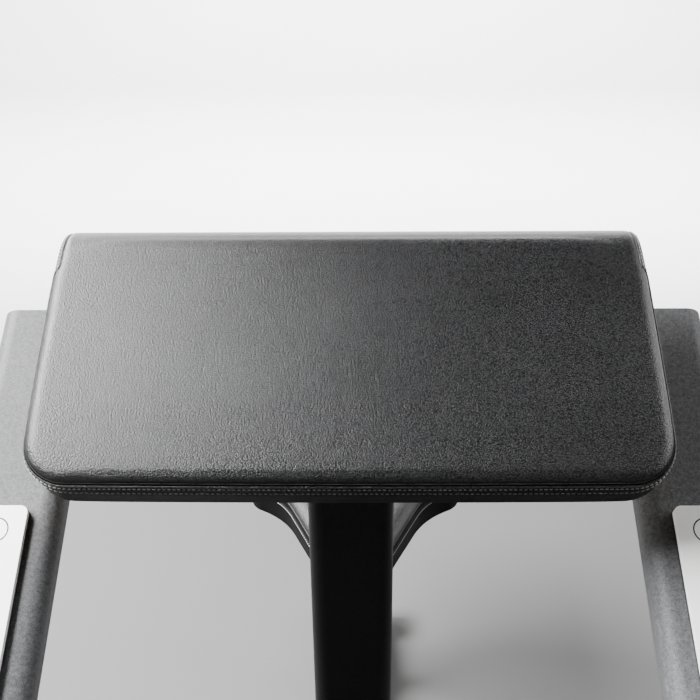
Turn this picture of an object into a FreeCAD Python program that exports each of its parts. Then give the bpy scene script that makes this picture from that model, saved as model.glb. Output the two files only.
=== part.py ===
import FreeCAD, Part
import math
import operator
import os
import Sketcher

# Preacher bench. Millimetres and degrees, +Z up. The bar rests at the front, -Y, and the lifter sits
# at the back, +Y. Left and right are as seen from the front, so +X is to the right.
# The origin is on the floor, in the middle of the bench's footprint.

V = FreeCAD.Vector
X_AXIS = V(1, 0, 0)
SIDES = {"left": -1, "right": 1}

# Driving dimensions

SIZES = {
    # Whole bench
    "half_depth": 475,
    "floor_gap": 12,
    # Arm pad, measured along the slope from its lower seam and square to its underside
    "pad_y": -181.5,
    "pad_z": 778,
    "pad_slope": 32,
    "pad_width": 640,
    "pad_seam_height": 33,
    "pad_face_height": 51,
    "pad_crown": 5,
    "pad_roll_radius": 48,
    "pad_roll_centre": 269,
    "pad_corner": 48,
    "pad_edge_roll": 16,
    "pad_draw_in": 3,
    "cover_skin": 1.5,
    "pad_board": 15,
    "pad_board_inset": 9,
    "pad_plate_centre": 165,
    "pad_plate_width": 240,
    "pad_plate_length": 200,
    "pad_plate": 6,
    "plate_corner": 14,
    "pad_screw_across": 180,
    "pad_screw_along": 140,
    "pad_screw_length": 20,
    # Screws, washers and threaded inserts under both cushions
    "screw_radius": 3.95,
    "screw_head": 5.5,
    "screw_hole_radius": 4.5,
    "washer_radius": 9,
    "washer_bore": 4.2,
    "washer": 1.6,
    "insert_radius": 6,
    "insert_bore": 4,
    # Column
    "column_y": -30,
    "column_width": 100,
    "column_depth": 70,
    "column_corner": 18,
    "column_wall": 4,
    "column_room": 150,
    # Side beams, measured down the slope from their upper ends
    "beam_x": 362,
    "beam_y": 76,
    "beam_z": 856.4,
    "beam_slope": 30,
    "beam_width": 108,
    "beam_height": 50,
    "beam_corner": 20,
    "beam_wall": 3,
    "beam_cap": 8,
    # Bar hooks
    "hook_height": 72,
    "hook_plate": 6,
    "hook_bend": 26,
    "hook_foot": 72,
    "hook_width": 84,
    "hook_tip_corner": 16,
    "hook_liner": 4,
    "hook_liner_margin": 4,
    # Wear plates
    "wear_x": 367,
    "wear_start": 244,
    "wear_width": 60,
    "wear_plate": 10,
    "wear_corner": 8.5,
    "wear_screw_inset": 27,
    "wear_cap_radius": 13,
    "wear_cap": 2.5,
    "wear_cap_gap": 0.15,
    "wear_cap_rim": 0.6,
    "wear_bore_depth": 6.5,
    "wear_screw_radius": 3,
    "wear_screw_depth": 11,
    "wear_screw_head_radius": 6,
    "wear_screw_head": 3.4,
    "wear_hole_radius": 3.3,
    "beam_hole_radius": 3.05,
    # Upper cross tube
    "cross_down": 75,
    "cross_width": 60,
    "cross_height": 40,
    "cross_corner": 10,
    "cross_wall": 3,
    # Legs and floor frame
    "leg_y": -335,
    "leg_width": 50,
    "leg_depth": 90,
    "leg_corner": 18,
    "leg_entry": 35,
    "foot_height": 50,
    "foot_depth": 80,
    "foot_half_span": 430,
    "foot_corner": 12,
    "foot_wall": 3,
    "spine_width": 80,
    "rear_foot_y": 430,
    "rear_foot_depth": 60,
    "rear_foot_half_span": 54,
    "tube_cap": 5,
    "rubber_radius": 24,
    "rubber_chamfer": 3,
    "rubber_taper": 4,
    "rubber_spread": 385,
    "rubber_rear_spread": 36,
    # Seat, measured from the seat post's axis
    "seat_y": 289,
    "seat_z": 414,
    "seat_board": 12,
    "seat_board_inset": 8,
    "seat_thickness": 68,
    "seat_seam_height": 37,
    "seat_dome_radius": 2400,
    "seat_edge_roll": 18,
    "seat_draw_in": 5,
    "seat_plate_width": 150,
    "seat_plate_length": 190,
    "seat_plate": 6,
    "seat_screw_across": 110,
    "seat_screw_along": 150,
    "seat_screw_length": 17,
    # Seat post and sleeve
    "post_size": 50,
    "post_corner": 6,
    "post_wall": 3,
    "post_bottom": 96,
    "sleeve_size": 64,
    "sleeve_corner": 9,
    "sleeve_wall": 4,
    "sleeve_top": 350,
    "liner_gap": 0.5,
    "liner_height": 60,
    "liner_lip": 4,
    "hole_pitch": 25,
    "hole_radius": 5.4,
    "pin_z": 300,
    # Pull pin
    "pin_radius": 5,
    "pin_clearance": 0.3,
    "pin_tip_radius": 3.5,
    "pin_tip_length": 3,
    "barrel_radius": 12,
    "barrel_length": 34,
    "barrel_bore": 8.4,
    "barrel_end": 4,
    "barrel_chamfer": 2,
    "collar_radius": 8,
    "collar_length": 4,
    "collar_gap": 1,
    "pin_reach": 15,
    "knob_radius": 17,
    "knob_length": 30,
    "knob_gap": 1,
    "spring_wire": 1.2,
    "spring_turns": 6,
    "spring_gap": 0.2,
}
# Seat outline from the nose to the middle of its back edge, half of it
SEAT_OUTLINE = [(0, -212), (51, -179), (94, -85), (149, -27), (168, 0), (178, 75), (112, 171.7), (0, 186)]
SEAT_HOLES = 7
# The pull knob's outline, as shares of its radius and of its length
KNOB_OUTLINE = [(0, 0), (0.55, 0), (0.62, 0.35), (0.9, 0.5), (1, 0.68), (1, 0.86), (0.88, 1), (0, 1)]

doc = FreeCAD.newDocument("preacher_bench")
sheet = doc.addObject("Spreadsheet::Sheet", "Sizes")
for row, (alias, number) in enumerate(SIZES.items(), start=1):
    sheet.set("A%d" % row, alias)
    sheet.set("B%d" % row, str(number))
    sheet.setAlias("B%d" % row, alias)
doc.recompute()


class Size:
    """A length or angle that knows both its value and the sheet expression that gives it."""

    def __init__(self, text, value):
        self.text = text
        self.value = value

    def __add__(self, other):
        return combined(self, "+", other)

    def __sub__(self, other):
        return combined(self, "-", other)

    def __mul__(self, other):
        return combined(self, "*", other)

    def __truediv__(self, other):
        return combined(self, "/", other)

    def __neg__(self):
        return combined(self, "*", -1)


SIGNS = {"+": operator.add, "-": operator.sub, "*": operator.mul, "/": operator.truediv}


def as_size(item):
    return item if isinstance(item, Size) else Size("(%s)" % item, item)


def combined(first, sign, second):
    first, second = as_size(first), as_size(second)
    text = "(%s %s %s)" % (first.text, sign, second.text)
    return Size(text, SIGNS[sign](first.value, second.value))


def of(name):
    """The driving dimension of this name."""
    return Size("Sizes." + name, float(sheet.get(name)))


def sine(angle):
    return Size("sin(%s)" % angle.text, math.sin(math.radians(angle.value)))


def cosine(angle):
    return Size("cos(%s)" % angle.text, math.cos(math.radians(angle.value)))


def bind(item, **sizes):
    for name, value in sizes.items():
        item.setExpression(name, as_size(value).text)


def place(item, x=0, y=0, z=0, axis=X_AXIS, angle=None):
    """Puts an object at a point of the bench, turned about an axis where an angle is given."""
    if angle is not None:
        item.Placement = FreeCAD.Placement(V(0, 0, 0), FreeCAD.Rotation(axis, as_size(angle).value))
        item.setExpression("Placement.Rotation.Angle", as_size(angle).text)
    for letter, value in zip("xyz", (x, y, z)):
        item.setExpression("Placement.Base." + letter, as_size(value).text)
    return item


def place_on_slope(item, slope_name, x, along, out):
    """Puts an object on the arm pad's or the beams' slope: along runs up it, out is square to it."""
    slope = of(slope_name + "_slope")
    along, out = as_size(along), as_size(out)
    y = of(slope_name + "_y") + along * cosine(slope) - out * sine(slope)
    z = of(slope_name + "_z") + along * sine(slope) + out * cosine(slope)
    return place(item, x, y, z, X_AXIS, slope)


# Sketches

def new_body(label):
    body = doc.addObject("PartDesign::Body", label)
    body.Label = label
    return body


def new_sketch(body, name, role):
    sketch = body.newObject("Sketcher::SketchObject", body.Name + "_" + name)
    plane = [item for item in body.Origin.OriginFeatures if item.Role == role][0]
    sketch.AttachmentSupport = (plane, [""])
    sketch.MapMode = "FlatFace"
    return sketch


def drive(sketch, kind, value, *places):
    """Adds one driving constraint and ties it to the sheet."""
    index = sketch.addConstraint(Sketcher.Constraint(kind, *places, as_size(value).value))
    sketch.setExpression("Constraints[%d]" % index, as_size(value).text)


def rounded_rectangle(sketch, width, height, corner):
    """Draws a rounded rectangle centred on the sketch's origin."""
    half_w, half_h, radius = width.value / 2, height.value / 2, corner.value
    centres = [(half_w - radius, radius - half_h), (half_w - radius, half_h - radius),
               (radius - half_w, half_h - radius), (radius - half_w, radius - half_h)]
    first = len(sketch.Geometry)
    for turn, (x, y) in enumerate(centres):
        start = math.pi * (turn - 1) / 2
        arc = Part.ArcOfCircle(Part.Circle(V(x, y, 0), V(0, 0, 1), radius), start, start + math.pi / 2)
        sketch.addGeometry(arc)
    arcs = [first + turn for turn in range(4)]
    sides = []
    for turn in range(4):
        start = sketch.getPoint(arcs[turn], 2)
        end = sketch.getPoint(arcs[(turn + 1) % 4], 1)
        sides.append(sketch.addGeometry(Part.LineSegment(start, end)))
    for turn in range(4):
        sketch.addConstraint(Sketcher.Constraint("Tangent", arcs[turn], 2, sides[turn], 1))
        sketch.addConstraint(Sketcher.Constraint("Tangent", sides[turn], 2, arcs[(turn + 1) % 4], 1))
        kind = "Vertical" if turn % 2 == 0 else "Horizontal"
        sketch.addConstraint(Sketcher.Constraint(kind, sides[turn]))
        if turn:
            sketch.addConstraint(Sketcher.Constraint("Equal", arcs[0], arcs[turn]))
    sketch.addConstraint(Sketcher.Constraint("Symmetric", sides[0], 1, sides[2], 1, -1, 1))
    drive(sketch, "Radius", corner, arcs[0])
    drive(sketch, "DistanceX", width, sides[2], 1, sides[0], 1)
    drive(sketch, "DistanceY", height, sides[3], 1, sides[1], 1)


def polygon(sketch, points):
    """Draws a closed outline through points whose two coordinates are sizes."""
    points = [(as_size(x), as_size(y)) for x, y in points]
    lines = []
    for (x0, y0), (x1, y1) in zip(points, points[1:] + points[:1]):
        lines.append(sketch.addGeometry(Part.LineSegment(V(x0.value, y0.value, 0), V(x1.value, y1.value, 0))))
    for line, following in zip(lines, lines[1:] + lines[:1]):
        sketch.addConstraint(Sketcher.Constraint("Coincident", line, 2, following, 1))
    for line, (x, y) in zip(lines, points):
        pin_point(sketch, line, x, y)


def pin_point(sketch, line, x, y):
    """Ties the first point of a line to its two coordinates."""
    for kind, axis, value in (("DistanceX", -2, x), ("DistanceY", -1, y)):
        if abs(value.value) < 1e-9:
            sketch.addConstraint(Sketcher.Constraint("PointOnObject", line, 1, axis))
        else:
            drive(sketch, kind, value, -1, 1, line, 1)


def circles(sketch, spots, radius):
    for x, y in spots:
        x, y = as_size(x), as_size(y)
        index = sketch.addGeometry(Part.Circle(V(x.value, y.value, 0), V(0, 0, 1), as_size(radius).value))
        drive(sketch, "Radius", radius, index)
        for kind, axis, value in (("DistanceX", -2, x), ("DistanceY", -1, y)):
            if abs(value.value) < 1e-9:
                sketch.addConstraint(Sketcher.Constraint("PointOnObject", index, 3, axis))
            else:
                drive(sketch, kind, value, -1, 1, index, 3)


def extrude(body, sketch, length, both_ways=False):
    pad = body.newObject("PartDesign::Pad", body.Name + "_pad")
    pad.Profile = sketch
    if both_ways:
        pad.SideType = "Symmetric"
    bind(pad, Length=length)
    doc.recompute()
    return pad


def cut_through(body, sketch):
    """Cuts a sketch right through a body, both ways, and makes sure that it took something away."""
    before = body.Shape.Volume
    pocket = body.newObject("PartDesign::Pocket", body.Name + "_cut")
    pocket.Profile = sketch
    pocket.Type = "ThroughAll"
    pocket.SideType = "Symmetric"
    doc.recompute()
    if body.Shape.Volume > before - 1:
        raise RuntimeError("the cut in %s took nothing away" % body.Label)
    return pocket


def revolve(label, points):
    """Turns an outline in the XZ plane about Z."""
    body = new_body(label)
    sketch = new_sketch(body, "profile", "XZ_Plane")
    polygon(sketch, points)
    turn = body.newObject("PartDesign::Revolution", body.Name + "_turn")
    turn.Profile = sketch
    turn.ReferenceAxis = (sketch, ["V_Axis"])
    turn.Angle = 360
    doc.recompute()
    return body


def tube(label, role, width, height, corner, wall, length, both_ways=False):
    """A rolled tube with rounded corners, its section centred on its own origin."""
    body = new_body(label)
    sketch = new_sketch(body, "section", role)
    rounded_rectangle(sketch, width, height, corner)
    if wall is not None:
        rounded_rectangle(sketch, width - wall * 2, height - wall * 2, corner - wall)
    extrude(body, sketch, length, both_ways)
    return body


def plate(label, width, length, thickness, corner, spots=(), hole=None):
    """A flat plate with rounded corners and holes, lying on its own XY plane."""
    body = new_body(label)
    sketch = new_sketch(body, "outline", "XY_Plane")
    rounded_rectangle(sketch, width, length, corner)
    circles(sketch, spots, hole)
    extrude(body, sketch, thickness)
    return body


def cut(label, base, *tools):
    """A piece trimmed to fit the ones that it is welded to."""
    for number, tool in enumerate(tools, start=1):
        last = number == len(tools)
        name = label if last else "%s_trim_%d" % (label, number)
        result = doc.addObject("Part::Cut", name)
        result.Base = base
        result.Tool = tool
        base = result
    result.Label = label
    return result


def group(label, pieces):
    """Several like pieces in one node."""
    compound = doc.addObject("Part::Compound", label)
    compound.Label = label
    compound.Links = pieces
    return compound


def cylinder(name, radius, height, x=0, y=0, z=0):
    item = doc.addObject("Part::Cylinder", name)
    bind(item, Radius=radius, Height=height)
    return place(item, x, y, z)


def corners(across, along):
    return [(across / 2 * sx, along / 2 * sy) for sx in (-1, 1) for sy in (-1, 1)]


def hex_screws(label, spots, shank_radius, shank_length, head_height):
    """Hexagon screws that point up, with the underside of the head on the XY plane."""
    screws = []
    for number, (x, y) in enumerate(spots, start=1):
        name = "%s_%d" % (label, number)
        head = doc.addObject("Part::Prism", name + "_head")
        head.Polygon = 6
        bind(head, Circumradius=as_size(shank_radius * 1.85), Height=head_height)
        place(head, x, y, -as_size(head_height))
        screw = doc.addObject("Part::Fuse", name)
        screw.Base = head
        screw.Tool = cylinder(name + "_shank", shank_radius, shank_length, x, y)
        screws.append(screw)
    return group(label, screws)


def ring_group(label, spots, outer, bore, height):
    """Flat rings, such as washers and inserts, on the XY plane."""
    rings = []
    for number, (x, y) in enumerate(spots, start=1):
        name = "%s_%d" % (label, number)
        ring = doc.addObject("Part::Cut", name)
        ring.Base = cylinder(name + "_outside", outer, height, x, y)
        ring.Tool = cylinder(name + "_bore", bore, height, x, y)
        rings.append(ring)
    return group(label, rings)


def made(label, shape):
    """A piece whose shape comes straight from Part functions, with its sizes read from the sheet."""
    feature = doc.addObject("Part::Feature", label)
    feature.Label = label
    feature.Shape = shape
    return feature


# Soft forms

def arc_through(start, middle, end):
    return Part.Arc(V(*start), V(*middle), V(*end)).toShape()


def fillet_upper_edges(solid, radius, floor_height):
    """Rolls over every edge above a height, apart from those that cross the solid's whole width."""
    width = solid.BoundBox.XLength
    edges = [edge for edge in solid.Edges
             if min(v.Z for v in edge.Vertexes) > floor_height and edge.BoundBox.XLength < width - 1]
    return solid.makeFillet(radius, edges)


def pad_side_face(inset):
    """The arm pad seen from the side: front wall, crowned face and the roll at the top."""
    roll = of("pad_roll_radius").value - inset
    centre_y = of("pad_roll_centre").value
    lean = 2 * math.atan(2 * of("pad_crown").value / centre_y)
    centre_z = of("pad_face_height").value - of("pad_roll_radius").value * math.cos(lean)
    half = math.sqrt(0.5) * roll
    crest = (0, centre_y + roll * math.sin(lean), centre_z + roll * math.cos(lean))
    back = (0, centre_y + roll, centre_z)
    crown = of("pad_crown").value
    bow = (crest[1] ** 2 / 4 + crown ** 2) / (2 * crown)
    overrun = -30
    drop = bow - math.sqrt(bow ** 2 - (overrun - crest[1] / 2) ** 2)
    front = (0, overrun, crest[2] + crown - drop)
    edges = [
        arc_through(front, (0, crest[1] / 2, crest[2] + crown), crest),
        arc_through(crest, (0, centre_y + half, centre_z + half), back),
        Part.makeLine(V(*back), V(0, centre_y + roll, 0)),
        Part.makeLine(V(0, centre_y + roll, 0), V(0, overrun, 0)),
        Part.makeLine(V(0, overrun, 0), V(*front)),
    ]
    return Part.Face(Part.Wire(edges))


def pad_outline(inset, height):
    """The arm pad from above: a rectangle whose two lower corners are round."""
    half = of("pad_width").value / 2 - inset
    radius = of("pad_corner").value - inset
    back = of("pad_roll_centre").value + of("pad_roll_radius").value + 20
    bend = radius * (1 - math.sqrt(0.5))
    points = [(-half, back), (-half, inset + radius), (-half + radius, inset),
              (half - radius, inset), (half, inset + radius), (half, back)]
    spots = [V(x, y, height) for x, y in points]
    edges = [
        Part.makeLine(spots[0], spots[1]),
        Part.Arc(spots[1], V(bend - half, inset + bend, height), spots[2]).toShape(),
        Part.makeLine(spots[2], spots[3]),
        Part.Arc(spots[3], V(half - bend, inset + bend, height), spots[4]).toShape(),
        Part.makeLine(spots[4], spots[5]),
        Part.makeLine(spots[5], spots[0]),
    ]
    return Part.Wire(edges)


def drawn_in(outline, seam_height, draw_in, inset, bottom):
    """A block whose walls lean in below the seam, for the sides that a cover pulls tight."""
    seam = outline(inset, seam_height)
    lower = Part.makeLoft([outline(inset + draw_in, bottom), seam], True)
    upper = Part.Face(seam).extrude(V(0, 0, 2 * seam_height))
    return lower.fuse(upper).removeSplitter()


def arm_pad_form(inset):
    """The arm pad's outer form, or the foam's with the cover's thickness taken off."""
    width = of("pad_width").value + 40
    side = pad_side_face(inset)
    side.translate(V(-width / 2, 0, 0))
    slab = side.extrude(V(width, 0, 0))
    block = Part.Face(pad_outline(inset, -1)).extrude(V(0, 0, 200)).common(slab)
    rolled = fillet_upper_edges(block, of("pad_edge_roll").value - inset, 0.5)
    return rolled.common(drawn_in(pad_outline, of("pad_seam_height").value, of("pad_draw_in").value, inset, 0))


def arc_chain(points, heading):
    """Arcs through the points, each starting in the direction in which the last one ended."""
    edges = []
    for start, end in zip(points, points[1:]):
        chord = math.atan2(end[1] - start[1], end[0] - start[0])
        half_turn = (chord - heading + math.pi) % (2 * math.pi) - math.pi
        length = math.dist(start, end)
        bulge = length / 2 * math.tan(half_turn / 2)
        middle = ((start[0] + end[0]) / 2 + bulge * math.sin(chord),
                  (start[1] + end[1]) / 2 - bulge * math.cos(chord))
        edges.append((start, middle, end))
        heading = chord + half_turn
    return edges


def seat_outline(inset, height):
    """The saddle from above: a narrow nose, concave flanks and a wide back, mirrored about Y."""
    half = arc_chain(SEAT_OUTLINE, 0)
    mirrored = [tuple((-x, y) for x, y in reversed(arc)) for arc in reversed(half)]
    edges = [arc_through(*[(x, y, height) for x, y in arc]) for arc in half + mirrored]
    wire = Part.Wire(edges)
    if inset:
        wire = wire.makeOffset2D(-inset, 0)
    return wire


def seat_form(inset):
    """The seat's outer form: the outline under a shallow dome, with its top edge rolled over."""
    top = of("seat_thickness").value - inset
    radius = of("seat_dome_radius").value
    dome = Part.makeSphere(radius, V(0, 0, top - radius))
    block = Part.Face(seat_outline(inset, -1)).extrude(V(0, 0, 120)).common(dome)
    block = block.common(Part.makeBox(500, 500, 200, V(-250, -250, 0)))
    rolled = fillet_upper_edges(block, of("seat_edge_roll").value - inset, 10)
    walls = drawn_in(seat_outline, of("seat_seam_height").value, of("seat_draw_in").value, inset, 0)
    return rolled.common(walls)


def upholstery(form, board_form, board_thickness):
    """The cover, as a thin skin, and the foam under it, both open below for the board."""
    skin = of("cover_skin").value
    core = form(skin)
    cover = form(0).cut(core)
    board_space = board_form(board_thickness)
    return cover, core.cut(board_space)


def cushion_fasteners(cushion, spots, board, screw_length):
    """The threaded inserts in a cushion's board, and the washers and screws under its plate."""
    inserts = ring_group(cushion + "_inserts", spots, of("insert_radius"), of("insert_bore"), board)
    washers = ring_group(cushion + "_washers", spots, of("washer_radius"), of("washer_bore"), of("washer"))
    screws = hex_screws(cushion + "_screws", spots, of("screw_radius"), screw_length, of("screw_head"))
    return inserts, washers, screws


def fastener_heights(plate_thickness):
    """How far above the board's underside the plate, inserts, washers and screws start."""
    under = -plate_thickness
    return under, as_size(0), under - of("washer"), under - of("washer")


# Arm pad

def pad_board_shape(thickness):
    inset = of("pad_board_inset").value
    board = Part.Face(pad_outline(inset, 0)).extrude(V(0, 0, thickness))
    length = of("pad_roll_centre").value + of("pad_roll_radius").value - inset
    return board.common(Part.makeBox(1000, length, 100, V(-500, 0, 0)))


def arm_pad():
    thickness = of("pad_board").value
    cover, foam = upholstery(arm_pad_form, pad_board_shape, thickness)
    spots = corners(of("pad_screw_across"), of("pad_screw_along"))
    board = pad_board_shape(thickness)
    for x, y in spots:
        centre = V(x.value, y.value + of("pad_plate_centre").value, 0)
        board = board.cut(Part.makeCylinder(of("insert_radius").value, thickness, centre))
    for label, shape in (("arm_pad_cover", cover), ("arm_pad_foam", foam), ("arm_pad_board", board)):
        place_on_slope(made(label, shape), "pad", 0, 0, 0)
    mounting = plate("arm_pad_mounting_plate", of("pad_plate_width"), of("pad_plate_length"),
                     of("pad_plate"), of("plate_corner"), spots, of("screw_hole_radius"))
    fasteners = cushion_fasteners("arm_pad", spots, of("pad_board"), of("pad_screw_length"))
    for item, out in zip((mounting,) + fasteners, fastener_heights(of("pad_plate"))):
        place_on_slope(item, "pad", 0, of("pad_plate_centre"), out)


# Column and floor frame

def column():
    """The upright under the arm pad, its top cut to the pad's slope."""
    floor_top = of("floor_gap") + of("foot_height")
    body = tube("column", "XY_Plane", of("column_width"), of("column_depth"), of("column_corner"),
                of("column_wall"), of("pad_z") + of("column_room") - floor_top)
    slope = of("pad_slope")
    sketch = new_sketch(body, "top", "YZ_Plane")
    under = of("pad_z") - of("pad_plate") / cosine(slope) - floor_top
    rise = sine(slope) / cosine(slope)
    reach = of("column_depth")
    from_pad = of("column_y") - of("pad_y")
    low, high = under + (from_pad - reach) * rise, under + (from_pad + reach) * rise
    top = of("pad_z") + of("column_room")
    polygon(sketch, [(-reach, low), (reach, high), (reach, top), (-reach, top)])
    cut_through(body, sketch)
    return place(body, 0, of("column_y"), floor_top)


def cross_foot(label, y, depth, half_span, caps_label):
    """A floor tube across the bench, with a plastic cap in each end."""
    middle = of("floor_gap") + of("foot_height") / 2
    foot = tube(label, "YZ_Plane", depth, of("foot_height"), of("foot_corner"), of("foot_wall"),
                half_span * 2, both_ways=True)
    place(foot, 0, y, middle)
    caps = []
    for side, sign in SIDES.items():
        cap = tube("%s_%s" % (caps_label, side), "YZ_Plane", depth, of("foot_height"), of("foot_corner"),
                   None, of("tube_cap"), both_ways=True)
        place(cap, (half_span + of("tube_cap") / 2) * sign, 0, 0)
        caps.append(cap)
    place(group(caps_label, caps), 0, y, middle)


def floor_frame():
    floor_top = of("floor_gap") + of("foot_height")
    cross_foot("front_cross_foot", of("leg_y"), of("foot_depth"), of("foot_half_span"), "front_foot_end_caps")
    cross_foot("rear_foot", of("rear_foot_y"), of("rear_foot_depth"), of("rear_foot_half_span"),
               "rear_foot_end_caps")
    start = of("leg_y") + of("foot_depth") / 2
    end = of("rear_foot_y") - of("rear_foot_depth") / 2
    spine = tube("floor_spine", "XZ_Plane", of("spine_width"), of("foot_height"), of("foot_corner"),
                 of("foot_wall"), end - start)
    place(spine, 0, end, floor_top - of("foot_height") / 2)
    rubber_feet("front_rubber_feet", of("leg_y"), of("rubber_spread"))
    rubber_feet("rear_rubber_feet", of("rear_foot_y"), of("rubber_rear_spread"))


def rubber_feet(label, y, spread):
    radius, chamfer = of("rubber_radius"), of("rubber_chamfer")
    feet = []
    for side, sign in SIDES.items():
        foot = revolve("%s_%s" % (label, side), [
            (0, 0), (radius - chamfer, 0), (radius, chamfer), (radius - of("rubber_taper"), of("floor_gap")),
            (0, of("floor_gap"))])
        place(foot, spread * sign, 0, 0)
        feet.append(foot)
    place(group(label, feet), 0, y, 0)


# Side frames

def beam_length():
    """Down the slope from a beam's upper end to the toe under the bar hook's upright."""
    slope = of("beam_slope")
    return (of("beam_y") + of("half_depth") - of("hook_height") * sine(slope)) / cosine(slope)


def beam_section(label, role, wall, length):
    return tube(label, role, of("beam_width"), of("beam_height"), of("beam_corner"), wall, length)


def side_beam(side):
    """A wide tube that slopes with the pad, drilled for the wear plate's screws."""
    sign = SIDES[side]
    body = beam_section("side_beam_" + side, "XZ_Plane", of("beam_wall"), beam_length())
    sketch = new_sketch(body, "holes", "XY_Plane")
    spots = [((of("wear_x") - of("beam_x")) * sign, -down) for down in wear_screws_down()]
    circles(sketch, spots, of("beam_hole_radius"))
    pocket = body.newObject("PartDesign::Pocket", body.Name + "_holes")
    pocket.Profile = sketch
    pocket.Type = "ThroughAll"
    pocket.Reversed = True
    doc.recompute()
    place_on_slope(body, "beam", of("beam_x") * sign, 0, -of("beam_height") / 2)


def beam_envelope(side):
    """The beam as if it were solid, to trim what is welded to it."""
    body = beam_section("beam_envelope_" + side, "XZ_Plane", None, beam_length())
    return place_on_slope(body, "beam", of("beam_x") * SIDES[side], 0, -of("beam_height") / 2)


def beam_caps(label, along, side):
    """A welded end plate with rounded rims."""
    body = beam_section("%s_%s" % (label, side), "XZ_Plane", None, of("beam_cap"))
    return place_on_slope(body, "beam", of("beam_x") * SIDES[side], along, -of("beam_height") / 2)


def side_leg(side, envelope):
    """The upright under a beam, from the cross foot to the beam's underside."""
    sign = SIDES[side]
    floor_top = of("floor_gap") + of("foot_height")
    slope = of("beam_slope")
    top = of("beam_z") + (of("leg_y") - of("beam_y")) * sine(slope) / cosine(slope) - of("leg_entry")
    stock = tube("leg_stock_" + side, "XY_Plane", of("leg_width"), of("leg_depth"), of("leg_corner"),
                 of("beam_wall"), top - floor_top)
    place(stock, of("beam_x") * sign, of("leg_y"), floor_top)
    cut("side_leg_" + side, stock, envelope)


def upper_cross_tube(envelopes, column_body):
    """The tube that ties both beams to the column, its ends and middle trimmed to fit them."""
    stock = tube("cross_stock", "YZ_Plane", of("cross_width"), of("cross_height"), of("cross_corner"),
                 of("cross_wall"), of("beam_x") * 2 - of("beam_width") / 2, both_ways=True)
    place_on_slope(stock, "beam", 0, -of("cross_down"), -of("beam_height") / 2)
    solid_column = tube("column_envelope", "XY_Plane", of("column_width"), of("column_depth"),
                        of("column_corner"), None, of("pad_z") + of("column_room"))
    place(solid_column, 0, of("column_y"), of("floor_gap"))
    cut("upper_cross_tube", stock, envelopes["left"], envelopes["right"], solid_column)


def wear_screws_down():
    first = of("wear_start") + of("wear_screw_inset")
    last = beam_length() - of("hook_foot") - of("wear_screw_inset")
    return [first, last]


def wear_plate(side):
    """A thick white strip that the bar slides down, with two screws under round caps."""
    sign = SIDES[side]
    length = beam_length() - of("hook_foot") - of("wear_start")
    middle = (beam_length() - of("hook_foot") + of("wear_start")) / 2
    half = length / 2 - of("wear_screw_inset")
    spots = [(0, half), (0, -half)]
    body = plate("wear_plate_" + side, of("wear_width"), length, of("wear_plate"), of("wear_corner"), spots,
                 of("wear_hole_radius"))
    sketch = new_sketch(body, "caps", "XY_Plane")
    circles(sketch, spots, of("wear_cap_radius"))
    sketch.AttachmentOffset = FreeCAD.Placement(V(0, 0, of("wear_plate").value), FreeCAD.Rotation())
    sketch.setExpression("AttachmentOffset.Base.z", of("wear_plate").text)
    doc.recompute()
    before = body.Shape.Volume
    pocket = body.newObject("PartDesign::Pocket", body.Name + "_bores")
    pocket.Profile = sketch
    bind(pocket, Length=of("wear_bore_depth"))
    doc.recompute()
    if body.Shape.Volume > before - 1:
        raise RuntimeError("the bores of the wear plate took nothing away")
    place_on_slope(body, "beam", of("wear_x") * sign, -middle, 0)
    fasten_wear_plate(side, spots, middle)


def fasten_wear_plate(side, spots, middle):
    bore_floor, depth = of("wear_plate") - of("wear_bore_depth"), of("wear_screw_depth")
    screws, caps = [], []
    for number, (x, y) in enumerate(spots, start=1):
        name = "wear_screw_%s_%d" % (side, number)
        screw = doc.addObject("Part::Fuse", name)
        head_radius, head = of("wear_screw_head_radius"), of("wear_screw_head")
        screw.Base = cylinder(name + "_head", head_radius, head, x, y, bore_floor)
        screw.Tool = cylinder(name + "_shank", of("wear_screw_radius"), bore_floor + depth, x, y, -depth)
        screws.append(screw)
        caps.append(revolve_cap("wear_cap_%s_%d" % (side, number), x, y))
    screws = group("wear_plate_screws_" + side, screws)
    caps = group("wear_plate_caps_" + side, caps)
    for item in (screws, caps):
        place_on_slope(item, "beam", of("wear_x") * SIDES[side], -middle, 0)


def revolve_cap(name, x, y):
    """A round plug that closes a screw's bore, flush with the plate and with a softened rim."""
    radius, rim = of("wear_cap_radius") - of("wear_cap_gap"), of("wear_cap_rim")
    top = of("wear_plate")
    bottom = top - of("wear_cap")
    cap = revolve(name, [(0, bottom), (radius, bottom), (radius, top - rim), (radius - rim, top), (0, top)])
    return place(cap, x, y, 0)


def hook_profile(thickness, lift, foot, height):
    """The side of a bent strip: foot on the beam, a quarter bend and an upright. Y runs up the slope."""
    bend = of("hook_bend").value
    inner = bend - thickness
    quarter = math.sqrt(0.5)
    centre = lift + bend
    edges = [
        Part.makeLine(V(0, foot, lift), V(0, centre, lift)),
        arc_through((0, centre, lift), (0, centre - bend * quarter, centre - bend * quarter),
                    (0, lift, centre)),
        Part.makeLine(V(0, lift, centre), V(0, lift, height)),
        Part.makeLine(V(0, lift, height), V(0, lift + thickness, height)),
        Part.makeLine(V(0, lift + thickness, height), V(0, lift + thickness, centre)),
        arc_through((0, lift + thickness, centre), (0, centre - inner * quarter, centre - inner * quarter),
                    (0, centre, lift + thickness)),
        Part.makeLine(V(0, centre, lift + thickness), V(0, foot, lift + thickness)),
        Part.makeLine(V(0, foot, lift + thickness), V(0, foot, lift)),
    ]
    return Part.Face(Part.Wire(edges))


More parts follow.
